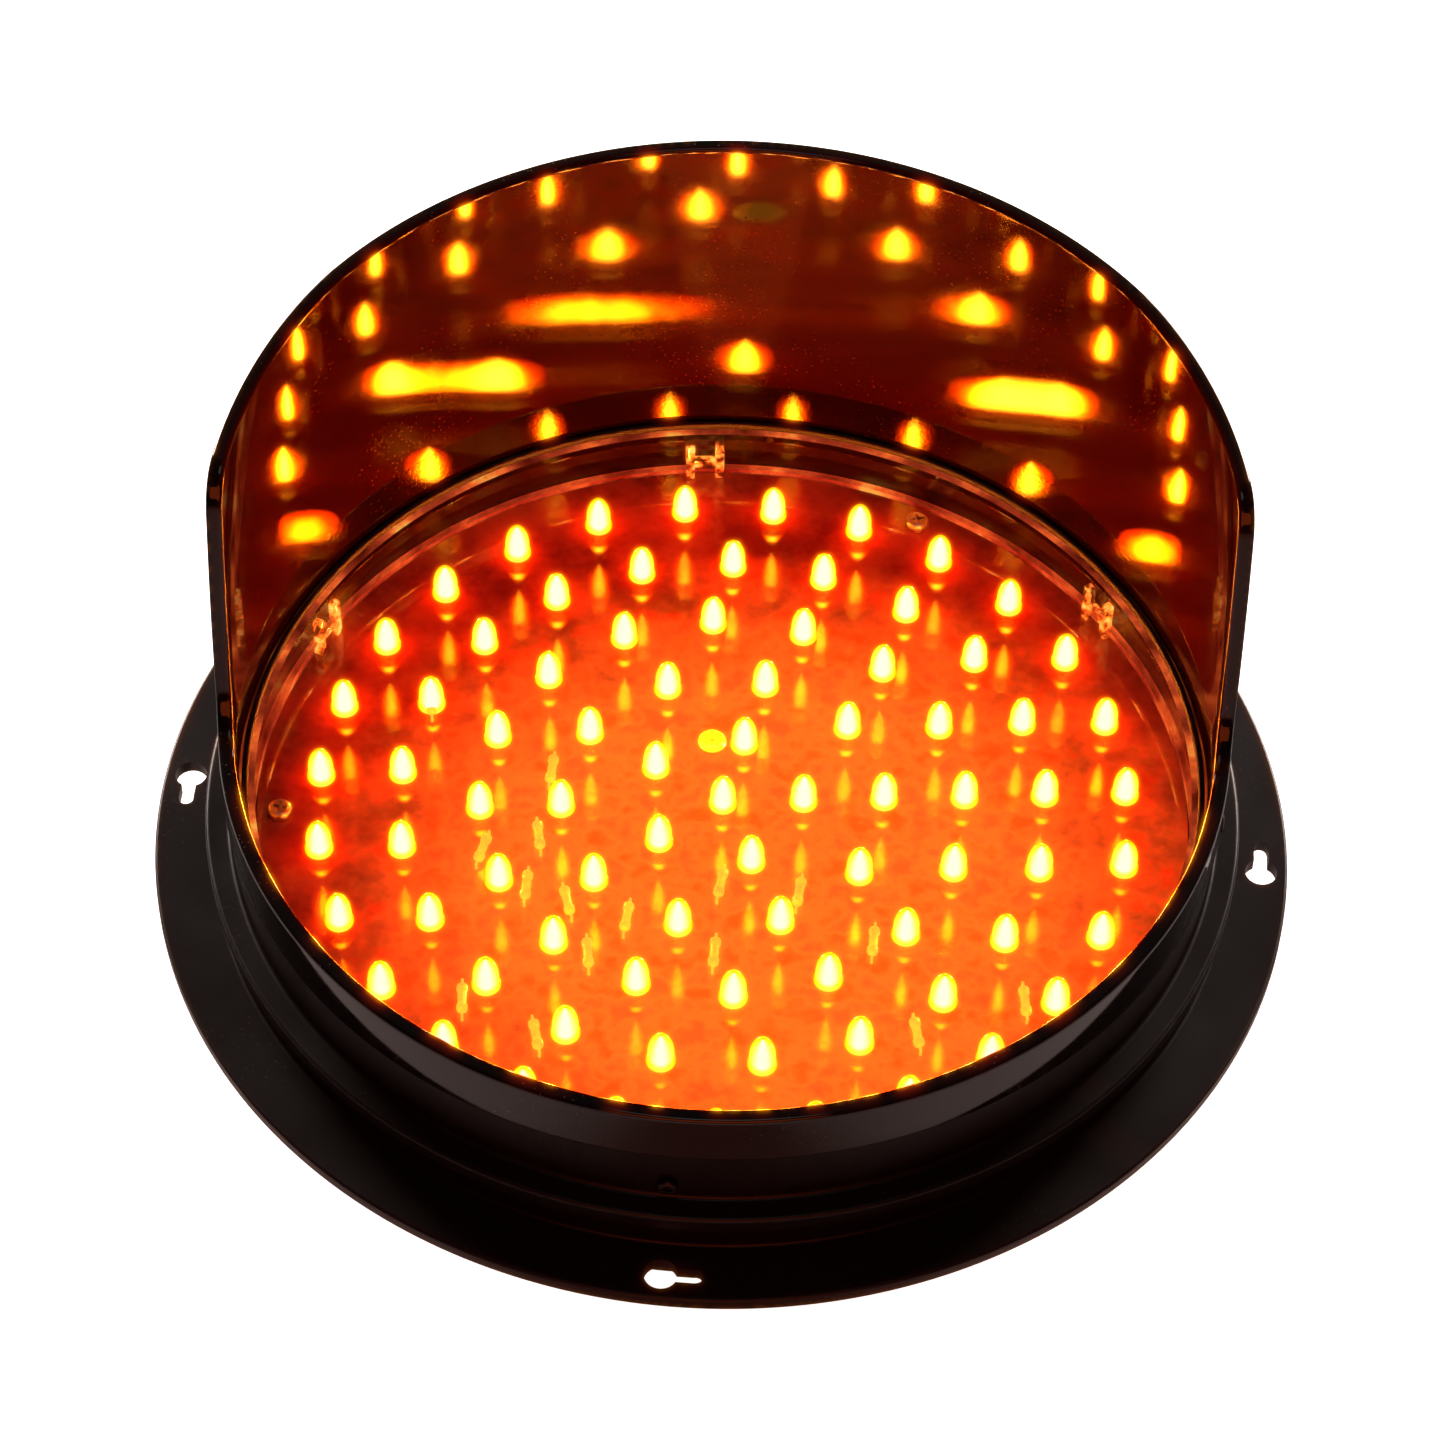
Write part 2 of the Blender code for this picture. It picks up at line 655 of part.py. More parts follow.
def make_visor():
    top = VISOR_FRONT + 2.0 * MM
    profile = (
        (VISOR_RADIUS, top),
        (VISOR_RADIUS, VISOR_SEAM),
        (SKIRT_INNER, VISOR_SEAM),
        (SKIRT_INNER, SPIGOT_TOP + GAP),
        (BORE_RADIUS, SPIGOT_TOP + GAP),
        (BORE_RADIUS, top),
    )
    visor = turned_ring("visor", profile, "visor_black")
    cut(visor, hood_cutter())
    half = math.radians(3.3)
    inner = SKIRT_INNER - MM
    low = LUG_LOW - 0.4 * MM
    high = LUG_LOW + LUG_HEIGHT + 0.4 * MM
    below = VISOR_SEAM - MM
    middle = (low + high) / 2
    for azimuth in ring_azimuths(KEYHOLE_AZIMUTH, 4):
        mouth = azimuth - UNLOCK_TURN
        first = mouth - half
        cut(visor, sector_mesh("lock_slot", inner, SLOT_RADIUS, low, high, first, azimuth + half, 4))
        cut(visor, sector_mesh("entry_slot", inner, SLOT_RADIUS, below, middle, first, mouth + half, 2))


# Driver board and what stands on it

def make_driver_board():
    half = Vector((DRIVER_SIZE[0] / 2, DRIVER_SIZE[1] / 2, 0.0))
    low = DRIVER_CENTRE - half + Vector((0.0, 0.0, DRIVER_LOW))
    high = DRIVER_CENTRE + half + Vector((0.0, 0.0, DRIVER_TOP))
    board = add_part("driver_board", box_mesh("driver_board", low, high), "driver_board")
    for number, place in enumerate(driver_hole_places(), 1):
        hole = cylinder_mesh("driver_hole", 1.6 * MM, DRIVER_LOW - MM, DRIVER_TOP + MM, 8, place)
        cut(board, hole)
        seat = place @ Matrix.Translation((0.0, 0.0, DRIVER_TOP + GAP))
        pan_screw(f"driver_board_screw_{number}", 2.5 * MM, 1.8 * MM, 1.0 * MM, 4.5 * MM, seat)


def standing_box(name, centre, size, material):
    """A box that stands on the driver board."""
    x, y = centre
    width, depth, height = size
    base = DRIVER_TOP + GAP
    low = ((x - width / 2) * MM, (y - depth / 2) * MM, base)
    high = ((x + width / 2) * MM, (y + depth / 2) * MM, base + height * MM)
    return add_part(name, box_mesh(name, low, high), material)


def make_terminal_block():
    block = standing_box("terminal_block", (4, -53), (20, 9, 11), "terminal_green")
    base = DRIVER_TOP + GAP
    for x in (-2.5, 4.0, 10.5):
        entry = box_mesh(
            "wire_entry", ((x - 1.8) * MM, -60 * MM, base + 2 * MM), ((x + 1.8) * MM, -54 * MM, base + 6 * MM)
        )
        cut(block, entry)


def make_transformer():
    core = standing_box("transformer_core", (-28, -28), (26, 22, 17), "component_black")
    base = DRIVER_TOP + GAP
    window_low = (-36 * MM, -45 * MM, base + 4 * MM)
    window_high = (-20 * MM, -10 * MM, base + 13 * MM)
    cut(core, box_mesh("core_window", window_low, window_high))
    low = (-35.7 * MM, -38.7 * MM, base + 4.3 * MM)
    high = (-20.3 * MM, -17.3 * MM, base + 12.7 * MM)
    add_part("transformer_winding", box_mesh("transformer_winding", low, high), "coil_wrap")


def make_capacitors():
    base = DRIVER_TOP + GAP
    for number, y in enumerate((-37, -20), 1):
        place = Matrix.Translation((8 * MM, y * MM, base))
        edge = 0.6 * MM
        radius = 6.25 * MM
        height = 20.0 * MM
        profile = (
            (0.0, height), (radius - edge, height), (radius, height - edge), (radius, 0.0), (0.0, 0.0)
        )
        can = turned_solid(f"smoothing_capacitor_{number}", profile, "capacitor_sleeve", 16)
        can.matrix_world = place


def lying_cylinder(name, centre, radius, length, material, axis, sides=SMALL_STEPS):
    """A cylinder that lies along X or Y, with its middle at centre."""
    turns = {"X": Matrix.Rotation(QUARTER, 4, "Y"), "Y": Matrix.Rotation(QUARTER, 4, "X")}
    place = Matrix.Translation(centre) @ turns[axis]
    return add_part(name, cylinder_mesh(name, radius, -length / 2, length / 2, sides, place), material)


def make_small_components():
    base = DRIVER_TOP + GAP
    lying_cylinder("fuse", (-30 * MM, -52 * MM, base + 3 * MM), 2.6 * MM, 20 * MM, "fuse_glass", "X")
    lying_cylinder("varistor", (30 * MM, -52 * MM, base + 6 * MM), 5.5 * MM, 4 * MM, "varistor_blue", "Y")
    standing_box("bridge_rectifier", (30, -36), (15, 4.6, 11), "component_black")
    standing_box("output_connector", (36, -10), (10, 6, 7), "connector_white")


# Leads from the driver board to the LED board

BOARD_PLUG = Vector((50.0 * MM, 16.0 * MM, 0.0))
LEAD_RADIUS = 0.9 * MM


def make_board_plug():
    half = Vector((5.0 * MM, 3.0 * MM, 0.0))
    low = BOARD_PLUG - half + Vector((0.0, 0.0, SEAT_TOP - 6.0 * MM))
    high = BOARD_PLUG + half + Vector((0.0, 0.0, SEAT_TOP))
    add_part("led_board_connector", box_mesh("led_board_connector", low, high), "connector_white")


def lead_points(offset):
    """A smooth route from the top of the output connector, over and up to the LED board's connector."""
    start = Vector((36 * MM + offset, -10 * MM, DRIVER_TOP + 8.2 * MM))
    end = BOARD_PLUG + Vector((offset, 0.0, SEAT_TOP - 6.8 * MM))
    rise = Vector((0.0, 0.0, 9 * MM))
    swing = Vector((8 * MM, -4 * MM, 4 * MM))
    points = []
    steps = 12
    for k in range(steps + 1):
        t = k / steps
        first = (1 - t) ** 3 * start + 3 * (1 - t) ** 2 * t * (start + rise + swing)
        second = 3 * (1 - t) * t ** 2 * (end - rise) + t ** 3 * end
        points.append(first + second)
    return points


def make_leads():
    for name, offset in (("lead_red", -2 * MM), ("lead_black", 2 * MM)):
        curve = bpy.data.curves.new(name, "CURVE")
        curve.dimensions = "3D"
        curve.bevel_depth = LEAD_RADIUS
        curve.bevel_resolution = 1
        curve.use_fill_caps = True
        points = lead_points(offset)
        spline = curve.splines.new("POLY")
        spline.points.add(len(points) - 1)
        for slot, point in zip(spline.points, points):
            slot.co = (*point, 1.0)
        lead = bpy.data.objects.new(name, curve)
        lead.data.materials.append(materials["wire_" + name.split("_")[1]])
        parts.objects.link(lead)


# Cable gland and vent plug, turned to point out of the rear cover's side

GLAND_HEX = 9.6 * MM
GLAND_THREAD = 6.2 * MM
GLAND_BORE = 4.2 * MM
HEX_LENGTH = 5.0 * MM


def hexagon(name, radius, low, high, place):
    return cylinder_mesh(name, radius, low, high, 6, place)


def make_gland():
    outward = sideways(GLAND_AZIMUTH, GLAND_HEIGHT)
    seat = GLAND_SEAT + GAP
    face = seat + HEX_LENGTH
    tip = face + 6.0 * MM
    profile = (
        (GLAND_THREAD - 0.1 * MM, tip),
        (GLAND_THREAD - 0.1 * MM, face - MM),
        (GLAND_THREAD, face - MM),
        (GLAND_THREAD, 80.5 * MM),
        (GLAND_BORE, 80.5 * MM),
        (GLAND_BORE, face),
        (5.3 * MM, face),
        (5.3 * MM, tip),
    )
    body = turned_ring("gland_body", profile, "gland_black", 16)
    body.matrix_world = outward
    join(body, hexagon_ring("gland_hex", seat, face, outward))

    seal_low = face + GAP
    seal = flat_ring("gland_seal", 3.2 * MM, 5.0 * MM, seal_low, tip + 0.5 * MM, "seal_rubber", 16)
    seal.matrix_world = outward

    nut_low = face + GAP
    nut_top = tip + 6.0 * MM
    shell = (
        (5.6 * MM, nut_top),
        (7.4 * MM, nut_top - 2.0 * MM),
        (8.3 * MM, nut_low + 5.0 * MM),
        (8.3 * MM, nut_low),
        (6.5 * MM, nut_low),
        (6.5 * MM, tip + 0.9 * MM),
        (4.0 * MM, tip + 2.2 * MM),
        (4.0 * MM, nut_top),
    )
    nut = turned_ring("gland_nut", shell, "gland_black", 18)
    nut.matrix_world = outward

    locknut_high = 84.7 * MM
    mesh = hexagon("gland_locknut", GLAND_HEX, locknut_high - 3.0 * MM, locknut_high, outward)
    locknut = add_part("gland_locknut", mesh, "gland_black")
    bore = cylinder_mesh("locknut_bore", GLAND_THREAD + GAP, 80 * MM, 86 * MM, 16, outward)
    cut(locknut, bore)


def hexagon_ring(name, low, high, place):
    """A hexagonal collar with a round bore, made as a mesh of its own before it is joined."""
    ring = add_tool(name, hexagon(name, GLAND_HEX, low, high, place))
    hole = cylinder_mesh(name + "_bore", GLAND_THREAD - 0.5 * MM, low - MM, high + MM, 16, place)
    cut(ring, hole)
    return as_mesh(ring)


def make_vent():
    outward = sideways(QUARTER, GLAND_HEIGHT)
    seat = VENT_SEAT + GAP
    profile = (
        (0.0, seat + 3.0 * MM),
        (4.6 * MM, seat + 3.0 * MM),
        (5.6 * MM, seat + 2.0 * MM),
        (5.6 * MM, seat),
        (2.8 * MM, seat),
        (2.8 * MM, 84.0 * MM),
        (0.0, 84.0 * MM),
    )
    vent = turned_solid("vent_plug", profile, "gland_black", 16)
    vent.matrix_world = outward


def shade_parts():
    """Makes each part's modifiers real and shades its round faces smooth."""
    meshes = {obj: as_mesh(obj) for obj in parts.objects if obj.type == "MESH"}
    for obj, mesh in meshes.items():
        obj.modifiers.clear()
        obj.data = mesh
        mesh.shade_smooth()
        mesh.set_sharp_from_angle(angle=SHARP_ANGLE)


make_housing()
make_rear_cover()
make_cover_gasket()
make_cover_screws()
make_panel_gasket()
make_led_board()
make_board_screws()
make_centre_standoff()
make_lens()
make_lens_seal()
make_lens_clips()
make_lens_screws()
make_visor()
make_driver_board()
make_terminal_block()
make_transformer()
make_capacitors()
make_small_components()
make_board_plug()
make_leads()
make_gland()
make_vent()
shade_parts()
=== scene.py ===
# %% [markdown]
# # A lit traffic signal head
# The frame holds every part that has a real size: housing, visor, lens, boards, screws and gland. This
# lesson gives those parts their finished shapes and finishes. A lit head is mostly black plastic and very
# bright light, so most of the work goes into what shines, what mirrors it and what stays dark.

# %% Load the frame
import math

import bmesh
import bpy
from mathutils import Matrix, Vector


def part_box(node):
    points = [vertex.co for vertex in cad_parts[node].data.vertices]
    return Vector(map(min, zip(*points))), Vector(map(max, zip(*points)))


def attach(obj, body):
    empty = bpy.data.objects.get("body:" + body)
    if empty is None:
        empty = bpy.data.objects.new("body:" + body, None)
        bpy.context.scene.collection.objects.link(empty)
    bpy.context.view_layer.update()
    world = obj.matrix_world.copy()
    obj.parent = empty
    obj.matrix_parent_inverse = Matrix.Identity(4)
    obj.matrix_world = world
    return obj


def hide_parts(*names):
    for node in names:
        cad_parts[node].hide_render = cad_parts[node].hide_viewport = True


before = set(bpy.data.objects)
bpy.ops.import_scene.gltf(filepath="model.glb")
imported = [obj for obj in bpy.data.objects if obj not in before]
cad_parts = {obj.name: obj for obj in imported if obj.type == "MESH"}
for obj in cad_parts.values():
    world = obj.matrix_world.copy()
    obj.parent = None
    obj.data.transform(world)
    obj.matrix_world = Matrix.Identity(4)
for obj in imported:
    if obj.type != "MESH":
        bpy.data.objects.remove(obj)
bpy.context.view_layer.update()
scene = bpy.context.scene
MM = 0.001
HEAD = "head"
VISOR = "visor"

# %% [markdown]
# ## The camera
# The head is looked at from a little under a metre, about fifty degrees above the ground, with a moderate
# long lens. The camera could be placed by hand in the view, but three numbers are easier to read and
# change: how far, how high and how much it leans. It aims at a point on the head's own axis.

# %% Camera
CAMERA_TARGET = Vector((-0.0005, 0.0, 0.0669))
CAMERA_DISTANCE = 0.8768
CAMERA_ELEVATION = math.radians(49.075)
CAMERA_ROLL = math.radians(1.45)
CAMERA_LENS = 101.46


def place_camera():
    """Backs off from the target towards -Y, tilts down and leans."""
    camera = bpy.data.objects.new("camera", bpy.data.cameras.new("camera"))
    scene.collection.objects.link(camera)
    camera.data.lens = CAMERA_LENS
    camera.data.sensor_width = 36.0
    tilt = Matrix.Rotation(math.pi / 2 - CAMERA_ELEVATION, 4, "X")
    lean = Matrix.Rotation(CAMERA_ROLL, 4, "Z")
    back = Matrix.Translation((0.0, 0.0, CAMERA_DISTANCE))
    camera.matrix_world = Matrix.Translation(CAMERA_TARGET) @ tilt @ back @ lean
    scene.camera = camera
    return camera


camera = place_camera()
print("camera at", [round(v, 3) for v in camera.matrix_world.translation])

# %% [markdown]
# ## Sizes read from the frame
# The main places come from the nodes' boxes. The origin is on the optical axis, so a round part's radius
# is its box's largest X.

# %% Heights and radii
housing_low, housing_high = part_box("housing")
visor_low, visor_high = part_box("visor")
board_low, board_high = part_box("led_board")
_, lens_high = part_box("lens")
_, cover_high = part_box("rear_cover")

FLANGE_RADIUS = housing_high.x
FLANGE_BACK = housing_low.z
FLANGE_FRONT = FLANGE_BACK + 3.0 * MM
VISOR_RADIUS = visor_high.x
VISOR_SEAM = visor_low.z
VISOR_FRONT = visor_high.z - 0.21 * MM
SPIGOT_TOP = housing_high.z
BORE_RADIUS = lens_high.x + 0.4 * MM
BOARD_RADIUS = board_high.x
BOARD_BACK = board_low.z
BOARD_FACE = BOARD_BACK + 1.6 * MM
LENS_RADIUS = lens_high.x
LENS_FRONT = lens_high.z
LENS_BACK = LENS_FRONT - 2.5 * MM
SEAT_TOP = board_low.z - 0.3 * MM
COLLAR_TOP = 71.5 * MM
print("flange radius", round(FLANGE_RADIUS, 4), "visor front", round(VISOR_FRONT, 4))

# %% [markdown]
# ## Helpers that shape
# Nearly every part of a signal head is turned, so the main helper spins a profile about the axis. Its
# corners can be rounded with a radius each, because no moulded edge is perfectly sharp and a rounded edge is
# what catches the light. The alternative, a bevel, is kept for boxes, and cut_away can add a Bevel modifier
# to round cut holes, though no cut here asks for it.

# %% Mesh helpers
SHARP = math.radians(32.0)


def keep(name, shape, material, sharp=SHARP):
    """Turns a bmesh into an object at the origin and shades it smooth up to the sharp angle."""
    mesh = bpy.data.meshes.new(name)
    shape.to_mesh(mesh)
    shape.free()
    mesh.materials.append(material)
    mesh.shade_smooth()
    mesh.set_sharp_from_angle(angle=sharp)
    piece = bpy.data.objects.new(name, mesh)
    scene.collection.objects.link(piece)
    return piece


def rounded(corners, steps=5, closed=True):
    """Points through (a, b) corners. A corner with a third number is rounded to that radius.
    A spare point beyond each arc keeps the flat next to it flat when it is shaded smooth."""
    points = []
    count = len(corners)
    for i, corner in enumerate(corners):
        here = Vector(corner[:2])
        at_end = not closed and i in (0, count - 1)
        if len(corner) == 2 or at_end:
            points.append(here)
            continue
        to_last = (Vector(corners[i - 1][:2]) - here).normalized()
        to_next = (Vector(corners[(i + 1) % count][:2]) - here).normalized()
        half = to_last.angle(to_next) / 2
        spare = corner[2] * (1 / math.tan(half) + 0.25)
        centre = here + (to_last + to_next).normalized() * corner[2] / math.sin(half)
        first = here + to_last * corner[2] / math.tan(half) - centre
        last = here + to_next * corner[2] / math.tan(half) - centre
        sweep = -first.angle_signed(last)
        points.append(here + to_last * spare)
        for k in range(steps + 1):
            points.append(centre + Matrix.Rotation(sweep * k / steps, 2) @ first)
        points.append(here + to_next * spare)
    return points


def put(shape, place):
    """Moves a finished bmesh to its place, if it has one."""
    if place is not None:
        bmesh.ops.transform(shape, matrix=place, verts=shape.verts)
    return shape


def lathe(profile, steps, ring=True, place=None):
    """Spins (radius, height) points a full turn about Z."""
    shape = bmesh.new()
    verts = [shape.verts.new((max(point[0], 0.0), 0.0, point[1])) for point in profile]
    ends = zip(verts, verts[1:] + verts[:1]) if ring else zip(verts, verts[1:])
    edges = [shape.edges.new(pair) for pair in ends]
    bmesh.ops.spin(
        shape, geom=verts + edges, cent=(0, 0, 0), axis=(0, 0, 1),
        angle=2 * math.pi, steps=steps, use_merge=True,
    )
    bmesh.ops.remove_doubles(shape, verts=shape.verts, dist=1e-6)
    bmesh.ops.recalc_face_normals(shape, faces=shape.faces)
    return put(shape, place)


def block(size, centre, bevel=0.0, segments=2, place=None):
    """A box with rounded edges."""
    shape = bmesh.new()
    bmesh.ops.create_cube(shape, size=1.0)
    bmesh.ops.scale(shape, vec=size, verts=shape.verts)
    bmesh.ops.translate(shape, vec=centre, verts=shape.verts)
    if bevel > 0.0:
        bmesh.ops.bevel(
            shape, geom=shape.edges[:], offset=bevel, segments=segments,
            profile=0.5, affect="EDGES", material=-1,
        )
    return put(shape, place)


def rod(radius, low, high, sides, place=None, bevel=0.0):
    """An upright cylinder about Z."""
    shape = bmesh.new()
    bmesh.ops.create_cone(
        shape, cap_ends=True, segments=sides, radius1=radius, radius2=radius, depth=high - low
    )
    bmesh.ops.translate(shape, vec=(0, 0, (low + high) / 2), verts=shape.verts)
    if bevel > 0.0:
        rims = [e for e in shape.edges if abs(e.verts[0].co.z - e.verts[1].co.z) < 1e-7]
        bmesh.ops.bevel(
            shape, geom=rims, offset=bevel, segments=2, profile=0.5, affect="EDGES", material=-1
        )
    return put(shape, place)


def merge_in(target, extra):
    """Adds a bmesh's geometry to another and frees it."""
    mesh = bpy.data.meshes.new("part")
    extra.to_mesh(mesh)
    extra.free()
    target.from_mesh(mesh)
    bpy.data.meshes.remove(mesh)


def copies(shape, places):
    """One bmesh that holds a copy of shape at each place."""
    mesh = bpy.data.meshes.new("copy")
    shape.to_mesh(mesh)
    shape.free()
    whole = bmesh.new()
    for place in places:
        old = len(whole.verts)
        whole.from_mesh(mesh)
        whole.verts.ensure_lookup_table()
        bmesh.ops.transform(whole, matrix=place, verts=whole.verts[old:])
    bpy.data.meshes.remove(mesh)
    return whole


def cut_away(piece, shapes, bevel=0.0):
    """Cuts closed shapes out of a piece, and rounds the new edges a little when a bevel width is given."""
    cutters = []
    for shape in shapes:
        mesh = bpy.data.meshes.new("cutter")
        shape.to_mesh(mesh)
        shape.free()
        cutter = bpy.data.objects.new("cutter", mesh)
        scene.collection.objects.link(cutter)
        cutters.append(cutter)
        boolean = piece.modifiers.new("cut", "BOOLEAN")
        boolean.operation = "DIFFERENCE"
        boolean.object = cutter
    if bevel > 0.0:
        edge = piece.modifiers.new("edge", "BEVEL")
        edge.width = bevel
        edge.segments = 2
        edge.limit_method = "ANGLE"
        edge.angle_limit = math.radians(40)
    apply_modifiers(piece)
    for cutter in cutters:
        bpy.data.objects.remove(cutter)


def apply_modifiers(piece):
    """Makes the modifiers' result the piece's own mesh."""
    graph = bpy.context.evaluated_depsgraph_get()
    mesh = bpy.data.meshes.new_from_object(piece.evaluated_get(graph), depsgraph=graph)
    piece.modifiers.clear()
    piece.data = mesh
    mesh.shade_smooth()
    mesh.set_sharp_from_angle(angle=SHARP)


def polar(azimuth, radius, height=0.0):
    return Matrix.Rotation(azimuth, 4, "Z") @ Matrix.Translation((radius, 0.0, height))


def azimuths(start, count):
    return [start + 2 * math.pi * k / count for k in range(count)]


def finish_piece(piece, body, slot, *nodes):
    """Says what the piece rides on and which frame nodes it stands for. Its slot is not used."""
    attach(piece, body)
    if nodes:
        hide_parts(*nodes)
    print(piece.name, len(piece.data.polygons), "faces")


print("helpers ready")

# %% [markdown]
# ## Shared effects
# Three things happen to every plastic part: the mould leaves a fine grain, handling polishes or dulls it
# in patches, and dust settles on it. Each is a node group that is built once and placed in every material
# that needs it, with its own amounts. The groups give only heights, masks and values, and the shader
# itself stays in each material.

# %% Node group helpers
def new_group(name, inputs, outputs):
    """An empty shader group with sockets given as (name, type, default)."""
    group = bpy.data.node_groups.new(name, "ShaderNodeTree")
    for socket_name, kind, default in inputs:
        socket = group.interface.new_socket(socket_name, in_out="INPUT", socket_type=kind)
        socket.default_value = default
    for socket_name, kind in outputs:
        group.interface.new_socket(socket_name, in_out="OUTPUT", socket_type=kind)
    return group, group.nodes.new("NodeGroupInput"), group.nodes.new("NodeGroupOutput")


def set_inputs(node, values):
    """Gives a node's own sockets their values."""
    for key, value in values.items():
        node.inputs[key].default_value = value


def add(tree, kind, values=None, **settings):
    """Adds a node, sets its properties by keyword and its inputs by a dictionary."""
    node = tree.nodes.new(kind)
    for key, value in settings.items():
        setattr(node, key, value)
    set_inputs(node, values or {})
    return node


def new_material(name):
    """A material with its node tree and its Principled shader."""
    material = bpy.data.materials.new(name)
    material.use_nodes = True
    return material, material.node_tree, material.node_tree.nodes["Principled BSDF"]


def wire(tree, *links):
    """Links (node, output, node, input). Where a helper gave a socket, it stands for the first two."""
    for *start, node, name in links:
        source = start[0].outputs[start[1]] if len(start) == 2 else start[0]
        tree.links.new(source, node.inputs[name])


def pattern(tree, kind, values=None, **settings):
    """A node that reads Object coordinates, so what it gives stays on the piece."""
    node = add(tree, kind, values, **settings)
    wire(tree, (add(tree, "ShaderNodeTexCoord"), "Object", node, "Vector"))
    return node


def math_node(tree, operation, first, second=None, clamp=False):
    """A Math node whose inputs are sockets or plain numbers."""
    node = tree.nodes.new("ShaderNodeMath")
    node.operation = operation
    node.use_clamp = clamp
    for socket, value in zip(node.inputs, (first, second)):
        if value is None:
            continue
        if isinstance(value, (int, float)):
            socket.default_value = value
        else:
            tree.links.new(value, socket)
    return node.outputs[0]


# %% Mould grain: a height for bump and a patchy value for roughness
def build_grain():
    sockets = [("Scale", "NodeSocketFloat", 900.0), ("Patch Scale", "NodeSocketFloat", 30.0)]
    group, inside, outside = new_group(
        "mould_grain", sockets, [("Height", "NodeSocketFloat"), ("Patches", "NodeSocketFloat")]
    )
    fine = pattern(group, "ShaderNodeTexNoise", {"Detail": 3.0, "Roughness": 0.6})
    broad = pattern(group, "ShaderNodeTexNoise", {"Detail": 4.0, "Roughness": 0.55, "Distortion": 0.4})
    wire(
        group,
        (inside, "Scale", fine, "Scale"),
        (inside, "Patch Scale", broad, "Scale"),
        (fine, "Fac", outside, "Height"),
        (broad, "Fac", outside, "Patches"),
    )
    return group


# %% Dust: sparse specks, more of them on faces that look up
def build_dust():
    sockets = [("Scale", "NodeSocketFloat", 700.0), ("Amount", "NodeSocketFloat", 0.5)]
    group, inside, outside = new_group("settled_dust", sockets, [("Mask", "NodeSocketFloat")])
    specks = pattern(group, "ShaderNodeTexVoronoi", {"Randomness": 1.0}, feature="F1")
    clouds = pattern(group, "ShaderNodeTexNoise", {"Scale": 45.0, "Detail": 3.0})
    near = math_node(group, "LESS_THAN", specks.outputs["Distance"], 0.16)
    where = math_node(group, "SUBTRACT", clouds.outputs["Fac"], 0.52)
    where = math_node(group, "MULTIPLY", where, 9.0, clamp=True)
    mask = math_node(group, "MULTIPLY", near, where)
    mask = math_node(group, "MULTIPLY", mask, inside.outputs["Amount"])
    wire(
        group,
        (inside, "Scale", specks, "Scale"),
        (mask, outside, "Mask"),
    )
    return group


# %% Edge wear: a mask where the surface is sharply convex
def build_edge_wear():
    sockets = [("Start", "NodeSocketFloat", 0.52), ("End", "NodeSocketFloat", 0.60)]
    group, inside, outside = new_group("edge_wear", sockets, [("Mask", "NodeSocketFloat")])
    shape = add(group, "ShaderNodeNewGeometry")
    scratch = pattern(group, "ShaderNodeTexNoise", {"Scale": 260.0, "Detail": 5.0, "Roughness": 0.7})
    ramp = add(group, "ShaderNodeMapRange")
    mask = math_node(group, "MULTIPLY", ramp.outputs[0], scratch.outputs["Fac"], clamp=True)
    wire(
        group,
        (shape, "Pointiness", ramp, "Value"),
        (inside, "Start", ramp, "From Min"),
        (inside, "End", ramp, "From Max"),
        (mask, outside, "Mask"),
    )
    return group


grain = build_grain()
dust = build_dust()
edge_wear = build_edge_wear()
print("effects:", grain.name, dust.name, edge_wear.name)

# %% [markdown]
# ## Plastics and rubber
# All the black parts share one recipe: a nearly black colour, a roughness that drifts in patches, a little
# grain as bump, worn edges a shade lighter and some dust. What tells them apart is how much of each they
# have. The housing is satin, the rear cover has a coarse spark texture, rubber is dull, and the visor is
# polished like a black mirror.

# %% One recipe for moulded parts
def roughen(tree, shader, texture, low, high, strength, distance):
    """Roughness that drifts between two values in patches, and the grain as bump."""
    drift = add(tree, "ShaderNodeMapRange", {"To Min": low, "To Max": high})
    bump = add(tree, "ShaderNodeBump", {"Strength": strength, "Distance": distance})
    wire(
        tree,
        (texture, "Patches", drift, "Value"),
        (drift, 0, shader, "Roughness"),
        (texture, "Height", bump, "Height"),
        (bump, "Normal", shader, "Normal"),
    )


def moulded(name, colour, roughness, spread, bump, scale=900.0, worn=(0.05, 0.045, 0.04), dusty=0.25,
            specular=0.5):
    """A moulded plastic or rubber finish."""
    material, tree, shader = new_material(name)
    shader.inputs["Specular IOR Level"].default_value = specular
    texture = add(tree, "ShaderNodeGroup", {"Scale": scale}, node_tree=grain)
    wear = add(tree, "ShaderNodeGroup", node_tree=edge_wear)
    specks = add(tree, "ShaderNodeGroup", {"Amount": dusty}, node_tree=dust)
    rub = add(tree, "ShaderNodeMix", {"A": (*colour, 1.0), "B": (*worn, 1.0)}, data_type="RGBA")
    settle = add(tree, "ShaderNodeMix", {"B": (0.30, 0.27, 0.24, 1.0)}, data_type="RGBA")
    roughen(tree, shader, texture, roughness - spread, roughness + spread, bump, 0.0002)
    wire(
        tree,
        (wear, "Mask", rub, "Factor"),
        (rub, "Result", settle, "A"),
        (specks, "Mask", settle, "Factor"),
        (settle, "Result", shader, "Base Color"),
    )
    return material


housing_black = moulded(
    "housing_black", (0.0075, 0.0030, 0.0022), 0.34, 0.10, 0.10, worn=(0.02, 0.009, 0.006), dusty=0.10,
    specular=0.30,
)
cover_black = moulded("cover_black", (0.012, 0.011, 0.011), 0.50, 0.10, 0.35, scale=1400.0)
seal_rubber = moulded("seal_rubber", (0.016, 0.016, 0.016), 0.75, 0.10, 0.25, scale=1100.0)
gland_black = moulded("gland_black", (0.014, 0.014, 0.014), 0.42, 0.08, 0.20)


